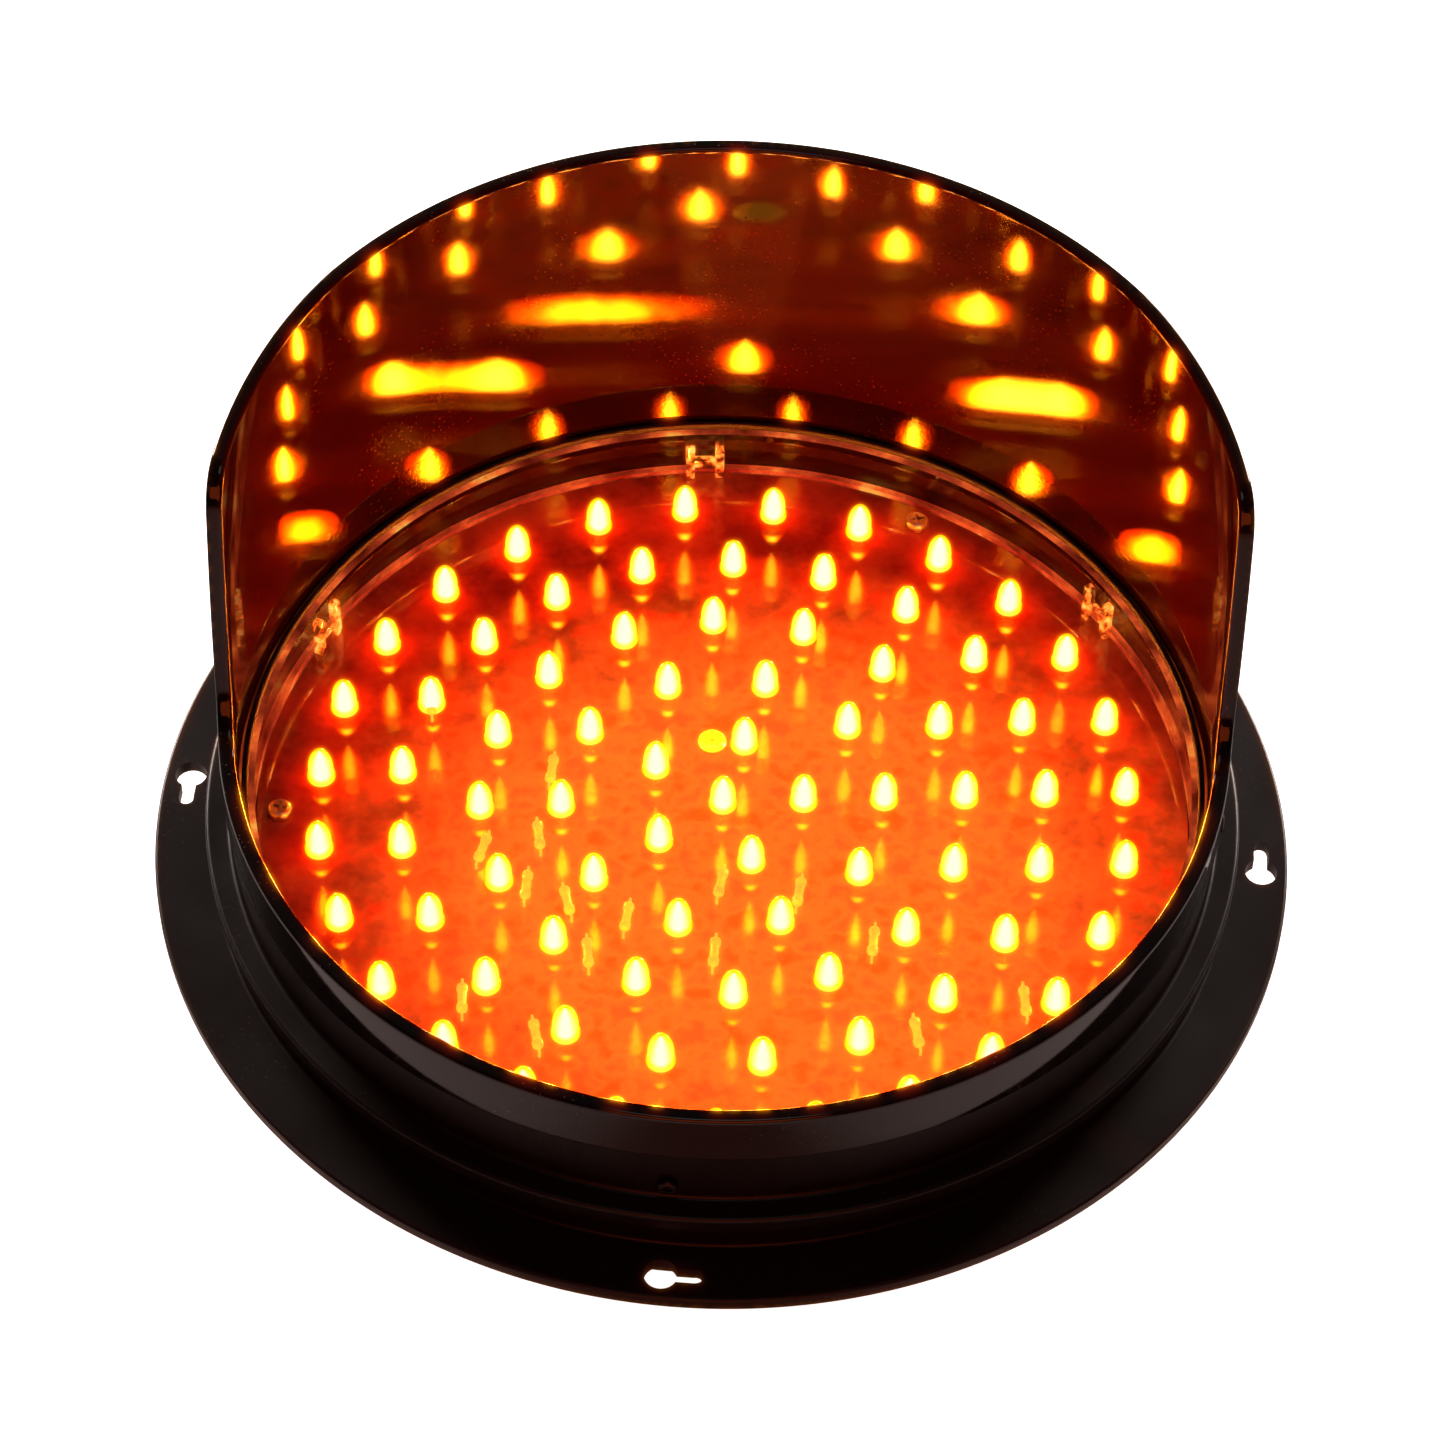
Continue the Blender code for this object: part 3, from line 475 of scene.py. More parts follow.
def radius_of(tree):
    """Distance from the optical axis, in metres."""
    flatten = pattern(tree, "ShaderNodeMapping", {"Scale": (1.0, 1.0, 0.0)}, vector_type="POINT")
    length = add(tree, "ShaderNodeVectorMath", operation="LENGTH")
    wire(tree, (flatten, 0, length, 0))
    return length.outputs["Value"]


def height_of(tree):
    """Height above the floor, in metres."""
    split = pattern(tree, "ShaderNodeSeparateXYZ")
    return split.outputs["Z"]


def polish_bore(material):
    """The housing's bore comes off a polished core pin, so inside it the satin gives way to gloss."""
    tree = material.node_tree
    shader = tree.nodes["Principled BSDF"]
    satin = shader.inputs["Roughness"].links[0].from_socket
    inside = math_node(tree, "LESS_THAN", radius_of(tree), BORE_RADIUS + 0.2 * MM)
    polish = add(tree, "ShaderNodeMix", {"B": 0.05}, data_type="FLOAT")
    wire(
        tree,
        (inside, polish, "Factor"),
        (satin, polish, "A"),
        (polish, "Result", shader, "Roughness"),
    )


polish_bore(housing_black)
print("plastics ready")

# %% Visor: black plastic polished like a mirror
def polished_visor():
    """Very smooth, with faint moulding waves. Inside, where it faces the lamps, their red light is painted
    into its colour as a red cast.
    """
    material, tree, shader = new_material("visor_black")
    shader.inputs["IOR"].default_value = 1.52
    stretch = pattern(tree, "ShaderNodeMapping", {"Scale": (1.0, 1.0, 0.35)})
    waves = add(tree, "ShaderNodeTexNoise", {"Scale": 42.0, "Detail": 2.0, "Roughness": 0.45})
    haze = pattern(tree, "ShaderNodeTexNoise", {"Scale": 160.0, "Detail": 5.0, "Roughness": 0.7})
    gloss = add(tree, "ShaderNodeMapRange", {
        "From Min": 0.35, "From Max": 0.75, "To Min": 0.035, "To Max": 0.075,
    })
    specks = add(tree, "ShaderNodeGroup", {"Amount": 0.3}, node_tree=dust)
    # Painted light: inside the tube the base colour turns red. It stands for the lamps' light that falls
    # there.
    inside = math_node(tree, "LESS_THAN", radius_of(tree), BORE_RADIUS + 1.0 * MM)
    painted_red_cast = add(tree, "ShaderNodeMix", {
        "A": (0.0070, 0.0058, 0.0055, 1.0), "B": (0.027, 0.0012, 0.0006, 1.0),
    }, data_type="RGBA")
    settle = add(tree, "ShaderNodeMix", {"B": (0.30, 0.16, 0.10, 1.0)}, data_type="RGBA")
    bump = add(tree, "ShaderNodeBump", {"Strength": 0.10, "Distance": 0.0006})
    wire(
        tree,
        (stretch, "Vector", waves, "Vector"),
        (haze, "Fac", gloss, "Value"),
        (gloss, 0, shader, "Roughness"),
        (inside, painted_red_cast, "Factor"),
        (painted_red_cast, "Result", settle, "A"),
        (specks, "Mask", settle, "Factor"),
        (settle, "Result", shader, "Base Color"),
        (waves, "Fac", bump, "Height"),
        (bump, "Normal", shader, "Normal"),
    )
    return material


visor_black = polished_visor()
print("visor finish ready")

# %% [markdown]
# ## Light sources
# A lit LED is far brighter than anything around it. Seen directly it is a white core with a yellow rim.
# What it throws on a mirror has to be much stronger still, or the mirrored lamps would be too weak to see,
# while what it throws on matt surfaces must be gentler, or the board would burn out. One emission strength
# can't do all three, so the material asks the Light Path what kind of ray has met it.

# %% LED finish
RED_GLOW = (1.0, 0.030, 0.001, 1.0)
MATT_STRENGTH = 15.0
MIRRORED_STRENGTH = 220.0
LED_HEIGHT = 9.2 * MM


def set_ramp(node, stops):
    """Fills a Color Ramp from (position, colour) stops."""
    elements = node.color_ramp.elements
    while len(elements) < len(stops):
        elements.new(1.0)
    for element, (position, colour) in zip(elements, stops):
        element.position = position
        element.color = (*colour, 1.0)


def streak_facing(tree, tilt):
    """Facing measured round the bullet only, since its chip lights an upright streak from foot to tip."""
    shape = add(tree, "ShaderNodeNewGeometry")
    flat = add(tree, "ShaderNodeVectorMath", {1: (1.0, 1.0, 0.0)}, operation="MULTIPLY")
    round_it = add(tree, "ShaderNodeVectorMath", operation="NORMALIZE")
    lift = add(tree, "ShaderNodeVectorMath", {1: (0.0, 0.0, tilt)}, operation="ADD")
    again = add(tree, "ShaderNodeVectorMath", operation="NORMALIZE")
    weight = add(tree, "ShaderNodeLayerWeight", {"Blend": 0.5})
    wire(
        tree,
        (shape, "Normal", flat, 0),
        (flat, 0, round_it, 0),
        (round_it, 0, lift, 0),
        (lift, 0, again, 0),
        (again, 0, weight, "Normal"),
    )
    return weight.outputs["Facing"]


def seen_directly(tree, facing):
    """White core, pale yellow, then yellow-green at the rim and foot, as an over-bright lamp looks."""
    foot = add(tree, "ShaderNodeMapRange", {
        "From Min": BOARD_FACE + 3.2 * MM, "From Max": BOARD_FACE + 0.4 * MM, "To Max": 0.34,
    }, interpolation_type="SMOOTHSTEP")
    ramp = add(tree, "ShaderNodeValToRGB")
    set_ramp(ramp, (
        (0.00, (1.0, 1.0, 0.97)),
        (0.12, (1.0, 1.0, 0.90)),
        (0.21, (0.93, 0.97, 0.40)),
        (0.32, (0.82, 0.91, 0.10)),
        (0.56, (0.78, 0.87, 0.005)),
        (0.90, (0.95, 0.55, 0.0)),
    ))
    wire(
        tree,
        (height_of(tree), foot, "Value"),
        (math_node(tree, "ADD", facing, foot.outputs[0]), ramp, "Fac"),
    )
    return ramp.outputs["Color"]


def seen_in_a_mirror(tree, from_above, from_below):
    """A mirror that looks down shows the whole lamp. The board looks up past the cup at a strip of chip."""
    across = add(tree, "ShaderNodeValToRGB")
    set_ramp(across, (
        (0.00, (1.0, 0.36, 0.110)),
        (0.04, (1.0, 0.27, 0.012)),
        (0.09, (0.80, 0.16, 0.001)),
        (0.15, (0.33, 0.032, 0.0)),
        (0.27, (0.12, 0.004, 0.0)),
        (0.70, (0.03, 0.0002, 0.0)),
    ))
    rise = add(tree, "ShaderNodeMapRange", {"From Min": BOARD_FACE, "From Max": BOARD_FACE + LED_HEIGHT})
    dim = (0.01, 0.01, 0.01)
    chip = (0.20, 0.20, 0.20)
    half = (0.35, 0.35, 0.35)
    full = (1.0, 1.0, 1.0)
    strip = add(tree, "ShaderNodeValToRGB")
    set_ramp(strip, ((0.38, dim), (0.47, chip), (0.60, chip), (0.69, dim)))
    whole = add(tree, "ShaderNodeValToRGB")
    set_ramp(whole, ((0.02, dim), (0.14, half), (0.30, full), (0.75, full), (0.98, half)))
    looks_down = math_node(tree, "LESS_THAN", from_above, from_below)
    part = add(tree, "ShaderNodeMix", data_type="RGBA")
    both = add(tree, "ShaderNodeMix", {"Factor": 1.0}, data_type="RGBA", blend_type="MULTIPLY")
    wire(
        tree,
        (math_node(tree, "MINIMUM", from_above, from_below), across, "Fac"),
        (height_of(tree), rise, "Value"),
        (rise, 0, strip, "Fac"),
        (rise, 0, whole, "Fac"),
        (strip, "Color", part, "A"),
        (whole, "Color", part, "B"),
        (looks_down, part, "Factor"),
        (across, "Color", both, "A"),
        (part, "Result", both, "B"),
    )
    return both.outputs["Result"]


def led_finish():
    material, tree, shader = new_material("led_amber")
    set_inputs(shader, {"Base Color": (0.9, 0.35, 0.03, 1.0), "Roughness": 0.08, "Emission Strength": 1.0})
    rays = add(tree, "ShaderNodeLightPath")
    from_above = streak_facing(tree, 0.5)
    from_below = streak_facing(tree, -0.5)
    mirrored = add(tree, "ShaderNodeEmission", {"Strength": MIRRORED_STRENGTH})
    matt = add(tree, "ShaderNodeEmission", {"Color": RED_GLOW, "Strength": MATT_STRENGTH})
    by_gloss = add(tree, "ShaderNodeMixShader")
    by_camera = add(tree, "ShaderNodeMixShader")
    straight = math_node(tree, "LESS_THAN", rays.outputs["Diffuse Depth"], 0.5)
    glossy = math_node(tree, "MULTIPLY", rays.outputs["Is Glossy Ray"], straight)
    wire(
        tree,
        (seen_directly(tree, from_above), shader, "Emission Color"),
        (seen_in_a_mirror(tree, from_above, from_below), mirrored, "Color"),
        (glossy, by_gloss, "Fac"),
        (matt, 0, by_gloss, 1),
        (mirrored, 0, by_gloss, 2),
        (rays, "Is Camera Ray", by_camera, "Fac"),
        (by_gloss, 0, by_camera, 1),
        (shader, 0, by_camera, 2),
        (by_camera, 0, tree.nodes["Material Output"], "Surface"),
    )
    return material


led_amber = led_finish()
print("LED finish ready")

# %% [markdown]
# ## The housing
# One moulding: a wide flange with four keyholes, a stepped shoulder, a straight wall and a thinner spigot
# that the visor slides over. A spun profile gives all of it at once, and the keyholes are cut afterwards.

# %% Housing
EDGE = 0.6 * MM
KEYHOLE_RING = 119.2 * MM
KEYHOLE_START = math.radians(85.1)
KEYHOLE_RUN = math.radians(3.4)


def housing_outline():
    spigot = 106.2 * MM
    return rounded((
        (spigot, SPIGOT_TOP, 0.5 * MM),
        (spigot, VISOR_SEAM - 0.3 * MM),
        (107.3 * MM, VISOR_SEAM - 0.3 * MM, 0.3 * MM),
        (107.6 * MM, 44.2 * MM, 1.0 * MM),
        (113.2 * MM, 44.2 * MM, 0.8 * MM),
        (113.2 * MM, 40.2 * MM, 0.5 * MM),
        (111.6 * MM, 39.4 * MM, 0.4 * MM),
        (111.6 * MM, FLANGE_FRONT, 0.8 * MM),
        (FLANGE_RADIUS, FLANGE_FRONT, EDGE),
        (FLANGE_RADIUS, FLANGE_BACK, 0.3 * MM),
        (110.2 * MM, FLANGE_BACK),
        (110.2 * MM, 41.0 * MM),
        (107.2 * MM, 41.0 * MM),
        (107.2 * MM, FLANGE_BACK),
        (94.5 * MM, FLANGE_BACK, 0.3 * MM),
        (94.5 * MM, SEAT_TOP, 0.3 * MM),
        (BORE_RADIUS, SEAT_TOP),
        (BORE_RADIUS, SPIGOT_TOP, 0.05 * MM),
    ))


def keyhole_cutter(azimuth):
    """A round hole and a slot that runs round from it, as one closed shape."""
    low = FLANGE_BACK - MM
    high = FLANGE_FRONT + MM
    shapes = [rod(3.5 * MM, low, high, 48, polar(azimuth, KEYHOLE_RING))]
    shapes.append(rod(1.6 * MM, low, high, 32, polar(azimuth + KEYHOLE_RUN, KEYHOLE_RING)))
    run = KEYHOLE_RING * KEYHOLE_RUN
    middle = (0.0, 0.0, (low + high) / 2)
    slot = block((3.2 * MM, run, high - low), middle, place=polar(azimuth + KEYHOLE_RUN / 2, KEYHOLE_RING))
    return shapes + [slot]


def make_housing():
    piece = keep("housing_shell", lathe(housing_outline(), 288), housing_black)
    cutters = []
    for azimuth in azimuths(KEYHOLE_START, 4):
        cutters.extend(keyhole_cutter(azimuth))
    cut_away(piece, cutters)
    return piece


housing = make_housing()
finish_piece(housing, HEAD, "housing_black", "housing")

# %% [markdown]
# ## The visor
# A tube whose front is cut away below, which leaves a hood over the upper half and a low collar all round.
# Cutting a tube with a Boolean leaves long thin faces, and a mirror finish shows every one of them. So the
# tube is spun with many steps and each upright column of points is simply shortened to the height that the
# side outline gives at its place. Every face then still lies on the cylinder and mirrors cleanly.

# %% Visor
HOOD_STEPS = 1080


def hood_outline():
    """The hood's edge from the side, as (y, z) points from the crown down to the collar."""
    return rounded((
        (130 * MM, VISOR_FRONT + 1.2 * MM),
        (60 * MM, VISOR_FRONT - 2.0 * MM, 150 * MM),
        (8.2 * MM, VISOR_FRONT - 8.6 * MM, 10 * MM),
        (-7.8 * MM, COLLAR_TOP, 12 * MM),
        (-130 * MM, COLLAR_TOP),
    ), steps=24, closed=False)


def hood_height(y, outline):
    """Where the outline crosses y."""
    for first, last in zip(outline, outline[1:]):
        if first[0] >= y >= last[0]:
            share = (first[0] - y) / max(first[0] - last[0], 1e-9)
            return first[1] + (last[1] - first[1]) * share
    return COLLAR_TOP


def make_visor():
    inner = BORE_RADIUS
    skirt = 106.6 * MM
    lip = 0.9 * MM
    profile = rounded((
        (VISOR_RADIUS, VISOR_FRONT, lip),
        (VISOR_RADIUS, VISOR_SEAM, 0.4 * MM),
        (skirt, VISOR_SEAM, 0.2 * MM),
        (skirt, SPIGOT_TOP + 0.1 * MM),
        (inner, SPIGOT_TOP + 0.1 * MM),
        (inner, VISOR_FRONT, lip),
    ), steps=5)
    shape = lathe(profile, HOOD_STEPS)
    outline = hood_outline()
    for vert in shape.verts:
        if vert.co.z > COLLAR_TOP:
            drop = VISOR_FRONT - vert.co.z
            vert.co.z = hood_height(vert.co.y, outline) - drop
    return keep("visor_shell", shape, visor_black)


visor = make_visor()
finish_piece(visor, VISOR, "visor_black", "visor")

# %% [markdown]
# ## The LED board
# A round circuit board with eighty LEDs in five rings and one in the middle, wired in strings with a small
# resistor for each. The board is a turned disc with drilled holes. Its LEDs and resistors are shapes made
# once and copied to each place, because a repeated part should be modelled a single time. The LEDs are
# drawn a little fatter and taller than the frame's own, which are 2.5 mm in radius and 8.6 mm tall.

# %% Board finish
def board_finish():
    """Glossy solder mask over copper, in broad patches, with a fine weave of the glass cloth. The lamps'
    light on the board is painted on as an orange glow, full near the middle and fading to nothing towards
    the rim.
    """
    material, tree, shader = new_material("led_board")
    set_inputs(shader, {"IOR": 1.75, "Roughness": 0.045, "Emission Strength": 3.2})
    mottle = pattern(tree, "ShaderNodeTexNoise", {"Scale": 150.0, "Detail": 3.0, "Roughness": 0.6})
    painted_glow_hue = add(tree, "ShaderNodeValToRGB")
    set_ramp(painted_glow_hue, (
        (0.36, (0.36, 0.040, 0.0036)),
        (0.51, (0.68, 0.062, 0.0046)),
        (0.66, (1.0, 0.036, 0.0016)),
    ))
    patches = pattern(tree, "ShaderNodeTexNoise", {"Scale": 55.0, "Detail": 4.0, "Roughness": 0.6})
    copper = add(tree, "ShaderNodeMix", {
        "A": (0.50, 0.17, 0.06, 1.0), "B": (0.20, 0.05, 0.02, 1.0),
    }, data_type="RGBA")
    contrast = add(tree, "ShaderNodeMapRange", {"From Min": 0.35, "From Max": 0.65})
    weave = pattern(tree, "ShaderNodeTexChecker", {"Scale": 1600.0})
    # Painted light: the emission below paints the lamps' light on the board. It is full within 58 mm of a
    # point near the middle, ragged at its edge and gone by 120 mm.
    off_centre = pattern(tree, "ShaderNodeMapping", {
        "Location": (-9.0 * MM, 24.0 * MM, 0.0), "Scale": (1.0, 1.0, 0.0),
    })
    away = add(tree, "ShaderNodeVectorMath", operation="LENGTH")
    ragged = add(tree, "ShaderNodeMath", {1: 28.0 * MM}, operation="MULTIPLY_ADD")
    glow = add(tree, "ShaderNodeMapRange", {
        "From Min": 120.0 * MM, "From Max": 58.0 * MM,
    }, interpolation_type="SMOOTHSTEP")
    painted_board_light = add(tree, "ShaderNodeMix", {"A": (0.0, 0.0, 0.0, 1.0)}, data_type="RGBA")
    bump = add(tree, "ShaderNodeBump", {"Strength": 0.02, "Distance": 0.0001})
    wire(
        tree,
        (patches, "Fac", contrast, "Value"),
        (contrast, 0, copper, "Factor"),
        (copper, "Result", shader, "Base Color"),
        (off_centre, 0, away, 0),
        (patches, "Fac", ragged, 0),
        (away, "Value", ragged, 2),
        (ragged, 0, glow, "Value"),
        (glow, 0, painted_board_light, "Factor"),
        (mottle, "Fac", painted_glow_hue, "Fac"),
        (painted_glow_hue, "Color", painted_board_light, "B"),
        (painted_board_light, "Result", shader, "Emission Color"),
        (weave, "Fac", bump, "Height"),
        (bump, "Normal", shader, "Normal"),
    )
    return material


led_board_finish = board_finish()
print("board finish ready")

# %% Board disc with its holes
BOARD_SCREW_RING = 97.2 * MM
BOARD_SCREW_START = math.radians(63.2)
CENTRE_SCREW = Vector((-2.7 * MM, 17.3 * MM, 0.0))


def make_board():
    edge = 0.15 * MM
    profile = rounded((
        (0.0, BOARD_FACE),
        (BOARD_RADIUS, BOARD_FACE, edge),
        (BOARD_RADIUS, BOARD_BACK, edge),
        (0.0, BOARD_BACK),
    ), steps=2)
    piece = keep("led_board_disc", lathe(profile, 192, ring=False), led_board_finish)
    low = BOARD_BACK - MM
    high = BOARD_FACE + MM
    places = [polar(a, BOARD_SCREW_RING) for a in azimuths(BOARD_SCREW_START, 3)]
    places.append(Matrix.Translation(CENTRE_SCREW))
    cut_away(piece, [rod(1.6 * MM, low, high, 24, place) for place in places])
    return piece


board = make_board()
finish_piece(board, HEAD, "led_board", "led_board")

# %% LEDs
RING_COUNTS = (1, 5, 10, 16, 21, 27)
LED_PITCH = 17.8 * MM
LED_START = math.radians(3.456)
LED_RADIUS = 2.85 * MM
LED_SHOULDER = 3.4 * MM
FLANGE = 3.15 * MM


def led_places():
    places = []
    for ring, count in enumerate(RING_COUNTS):
        for azimuth in azimuths(LED_START, count):
            places.append(polar(azimuth, ring * LED_PITCH, BOARD_FACE))
    return places


def led_shape():
    """A bullet with a long egg-shaped dome, on a thin flange that stands just off the board."""
    dome = LED_HEIGHT - LED_SHOULDER
    profile = [Vector((0.0, LED_HEIGHT))]
    for k in range(1, 10):
        angle = math.radians(10 * k)
        profile.append(Vector((LED_RADIUS * math.sin(angle), LED_SHOULDER + dome * math.cos(angle))))
    profile += [
        Vector((LED_RADIUS, 1.5 * MM)),
        Vector((FLANGE, 1.3 * MM)),
        Vector((FLANGE, 0.5 * MM)),
        Vector((0.0, 0.5 * MM)),
    ]
    return lathe(profile, 24, ring=False)


leds = keep("leds", copies(led_shape(), led_places()), led_amber)
finish_piece(leds, HEAD, "led_amber")

# %% Resistors
def resistor_finish():
    """Tan lacquer in two close shades, with the lamps' light on it painted in as a yellow to orange glow."""
    material, tree, shader = new_material("resistor_tan")
    set_inputs(shader, {"Roughness": 0.28, "Emission Strength": 0.75})
    mottle = pattern(tree, "ShaderNodeTexNoise", {"Scale": 320.0, "Detail": 3.0, "Roughness": 0.7})
    tint = add(tree, "ShaderNodeMix", {
        "A": (0.80, 0.56, 0.33, 1.0), "B": (0.60, 0.36, 0.19, 1.0),
    }, data_type="RGBA")
    # Painted light: this emission colour paints the lamps' light on the body.
    painted_resistor_glow = add(tree, "ShaderNodeMix", {
        "A": (1.0, 0.95, 0.02, 1.0), "B": (1.0, 0.30, 0.06, 1.0),
    }, data_type="RGBA")
    wire(
        tree,
        (mottle, "Fac", tint, "Factor"),
        (mottle, "Fac", painted_resistor_glow, "Factor"),
        (tint, "Result", shader, "Base Color"),
        (painted_resistor_glow, "Result", shader, "Emission Color"),
    )
    return material


# Each is an x and a y in millimetres and a turn in degrees.
RESISTOR_SPOTS_MM = (
    (-40, -11, 8), (-42, -25, -3), (-33, -29, 14), (-20, -33, -7), (-28, -43, 5), (-1, -42, -4),
    (-54, -56, 3), (0, -23, -9), (-38, -65, 12), (33, -38, -5), (65, -53, 4), (42, -62, 9),
    (17, -25, -8), (-38, 8, -5), (-52, -15, -14), (-66, 27, 6),
)
resistor_tan = resistor_finish()


def resistor_shape():
    """A dumb-bell body along Y between two bent leads, standing just off the board."""
    half = 3.4 * MM
    profile = rounded((
        (0.0, half),
        (1.2 * MM, half, 0.4 * MM),
        (1.2 * MM, half - 1.4 * MM, 0.3 * MM),
        (0.95 * MM, half - 1.9 * MM, 0.5 * MM),
        (0.95 * MM, 1.9 * MM - half, 0.5 * MM),
        (1.2 * MM, 1.4 * MM - half, 0.3 * MM),
        (1.2 * MM, -half, 0.4 * MM),
        (0.0, -half),
    ), steps=2)
    lie_down = Matrix.Translation((0.0, 0.0, 1.5 * MM)) @ Matrix.Rotation(math.pi / 2, 4, "X")
    shape = lathe(profile, 16, ring=False, place=lie_down)
    for end in (-1, 1):
        merge_in(shape, rod(0.3 * MM, -5.0 * MM, -half, 8, lie_down @ Matrix.Scale(end, 4)))
        foot = Matrix.Translation((0.0, end * 4.8 * MM, 0.0))
        merge_in(shape, rod(0.3 * MM, 0.0, 1.6 * MM, 8, foot))
    bmesh.ops.recalc_face_normals(shape, faces=shape.faces)
    return shape


def resistor_places():
    places = []
    for x, y, turn in RESISTOR_SPOTS_MM:
        spot = Matrix.Translation((x * MM, y * MM, BOARD_FACE))
        places.append(spot @ Matrix.Rotation(math.radians(turn), 4, "Z"))
    return places


resistors = keep("resistors", copies(resistor_shape(), resistor_places()), resistor_tan)
finish_piece(resistors, HEAD, "resistor_tan")

# %% [markdown]
# ## Screws and other metal
# Zinc plated steel is grey and never quite clean. A cross recess is cut in each head, because a plain dome
# doesn't read as a screw. The middle screw has its lamps' light painted on its dome as a yellow glow, and
# its head is drawn a little larger than the frame's own, which is 2.75 mm in radius and 2.0 mm high.

# %% Metal finish
def metal(name, colour, roughness, stain):
    material, tree, shader = new_material(name)
    shader.inputs["Metallic"].default_value = 1.0
    texture = add(tree, "ShaderNodeGroup", {"Scale": 2500.0, "Patch Scale": 260.0}, node_tree=grain)
    tint = add(tree, "ShaderNodeMix", {"A": (*colour, 1.0), "B": (*stain, 1.0)}, data_type="RGBA")
    roughen(tree, shader, texture, roughness - 0.1, roughness + 0.15, 0.15, 0.00005)
    wire(tree, (texture, "Patches", tint, "Factor"), (tint, "Result", shader, "Base Color"))
    return material


screw_steel = metal("screw_steel", (0.72, 0.71, 0.69), 0.30, (0.46, 0.42, 0.36))
screw_black = metal("screw_black", (0.035, 0.026, 0.024), 0.38, (0.06, 0.035, 0.03))
screw_lit = metal("screw_lit", (0.72, 0.71, 0.69), 0.30, (0.46, 0.42, 0.36))
brass = metal("brass", (0.78, 0.57, 0.22), 0.28, (0.50, 0.33, 0.12))


def light_the_head(material, floor_height):
    """The middle screw stands between four lamps, so their light is painted on its dome as a yellow glow.
    Its recess gets none of it and stays dark.
    """
    tree = material.node_tree
    shader = tree.nodes["Principled BSDF"]
    patches = shader.inputs["Base Color"].links[0].from_node.inputs["Factor"].links[0].from_socket
    shader.inputs["Emission Strength"].default_value = 1.0
    # Painted light: a yellow glow on the dome above the recess floor. The recess gets none and stays dark.
    above = math_node(tree, "GREATER_THAN", height_of(tree), floor_height)
    painted_dome_glow = add(tree, "ShaderNodeMix", {"A": (0.0, 0.0, 0.0, 1.0)}, data_type="RGBA")
    colour = add(tree, "ShaderNodeMix", {
        "A": (0.90, 0.80, 0.01, 1.0), "B": (0.75, 0.85, 0.0, 1.0),
    }, data_type="RGBA")
    wire(
        tree,
        (patches, colour, "Factor"),
        (colour, "Result", painted_dome_glow, "B"),
        (above, painted_dome_glow, "Factor"),
        (painted_dome_glow, "Result", shader, "Emission Color"),
    )


light_the_head(screw_lit, BOARD_FACE + 1.2 * MM)
print("metal ready")

# %% Pan head screws
COVER_SCREW_RING = 99.5 * MM
COVER_SCREW_START = math.radians(15.0)


def screw_shape(head, height, stem, length, place):
    """A pan head with a cross recess, on a threaded stem that points down from the head's underside."""
    profile = rounded((
        (0.0, height),
        (head * 0.98, height, height * 0.55),
        (head, 0.0, 0.1 * MM),
        (stem, 0.0),
        (stem, -length + 0.4 * MM),
        (stem - 0.4 * MM, -length),
        (0.0, -length),
    ), steps=4)
    return lathe(profile, 32, ring=False, place=place)


def cross_recess(head, height, place, recess=1.05):
    """Two crossed wedges, from above the head to two thirds of its depth."""
    reach = head * recess
    top = height + 0.2 * MM
    deep = height * 0.35
    middle = (0.0, 0.0, (top + deep) / 2)
    wide = head * 0.26
    arms = ((reach, wide, top - deep), (wide, reach, top - deep))
    return [block(size, middle, place=place) for size in arms]


def make_screw(name, head, height, stem, length, place, material=screw_steel, recess=1.05):
    piece = keep(name + "_shape", screw_shape(head, height, stem, length, place), material)
    cut_away(piece, cross_recess(head, height, place, recess))
    return piece


def place_on(azimuth, ring, height, turn=0.0):
    return polar(azimuth, ring, height) @ Matrix.Rotation(turn, 4, "Z")


screw_seat = BOARD_FACE + 0.3 * MM
for number, azimuth in enumerate(azimuths(BOARD_SCREW_START, 3), 1):
    name = f"led_board_screw_{number}"
    spot = place_on(azimuth, BOARD_SCREW_RING, screw_seat, number * 0.7)
    finish_piece(make_screw(name, 2.75 * MM, 2.0 * MM, 1.2 * MM, 7.0 * MM, spot), HEAD, "screw_steel", name)

spot = Matrix.Translation(CENTRE_SCREW + Vector((0.0, 0.0, screw_seat)))
centre_screw = make_screw(
    "led_board_centre_screw", 3.2 * MM, 2.2 * MM, 1.2 * MM, 8.0 * MM, spot, screw_lit, recess=0.55,
)
finish_piece(centre_screw, HEAD, "screw_steel", "led_board_centre_screw")

for number, azimuth in enumerate(azimuths(KEYHOLE_START, 4), 1):
    name = f"lens_screw_{number}"
    out = Matrix.Rotation(azimuth, 4, "Z") @ Matrix.Translation((0, 0, 48.4 * MM))
    out = out @ Matrix.Rotation(math.pi / 2, 4, "Y") @ Matrix.Translation((0, 0, 107.9 * MM))
    screw = make_screw(name, 2.2 * MM, 1.4 * MM, 1.2 * MM, 3.1 * MM, out, screw_black)
    finish_piece(screw, HEAD, "screw_black", name)

upside_down = Matrix.Rotation(math.pi, 4, "X")
for number, azimuth in enumerate(azimuths(COVER_SCREW_START, 6), 1):
    name = f"rear_cover_screw_{number}"
    under = place_on(azimuth, COVER_SCREW_RING, 25.1 * MM, number * 0.5) @ upside_down
    screw = make_screw(name, 3.5 * MM, 2.5 * MM, 1.75 * MM, 10.2 * MM, under)
    finish_piece(screw, HEAD, "screw_steel", name)

# %% [markdown]
# ## The lens
# A clear flat-topped cup. Real glass nodes bend every ray, and the lamps' light would then have to find its
# way through by luck, which leaves the render full of noise. A flat sheet bends nothing that can be seen, so
# the lens is a see-through shader with a mirror mixed in. The share of mirror grows towards grazing angles
# by Schlick's rule: four hundredths head-on, and all of it at a glance. A ray that has met a mirror gets a
# fixed share instead, five times the true one, so that the lamps' second images can be seen.

# %% Clear plastic finish
GHOST_SHARE = 0.20


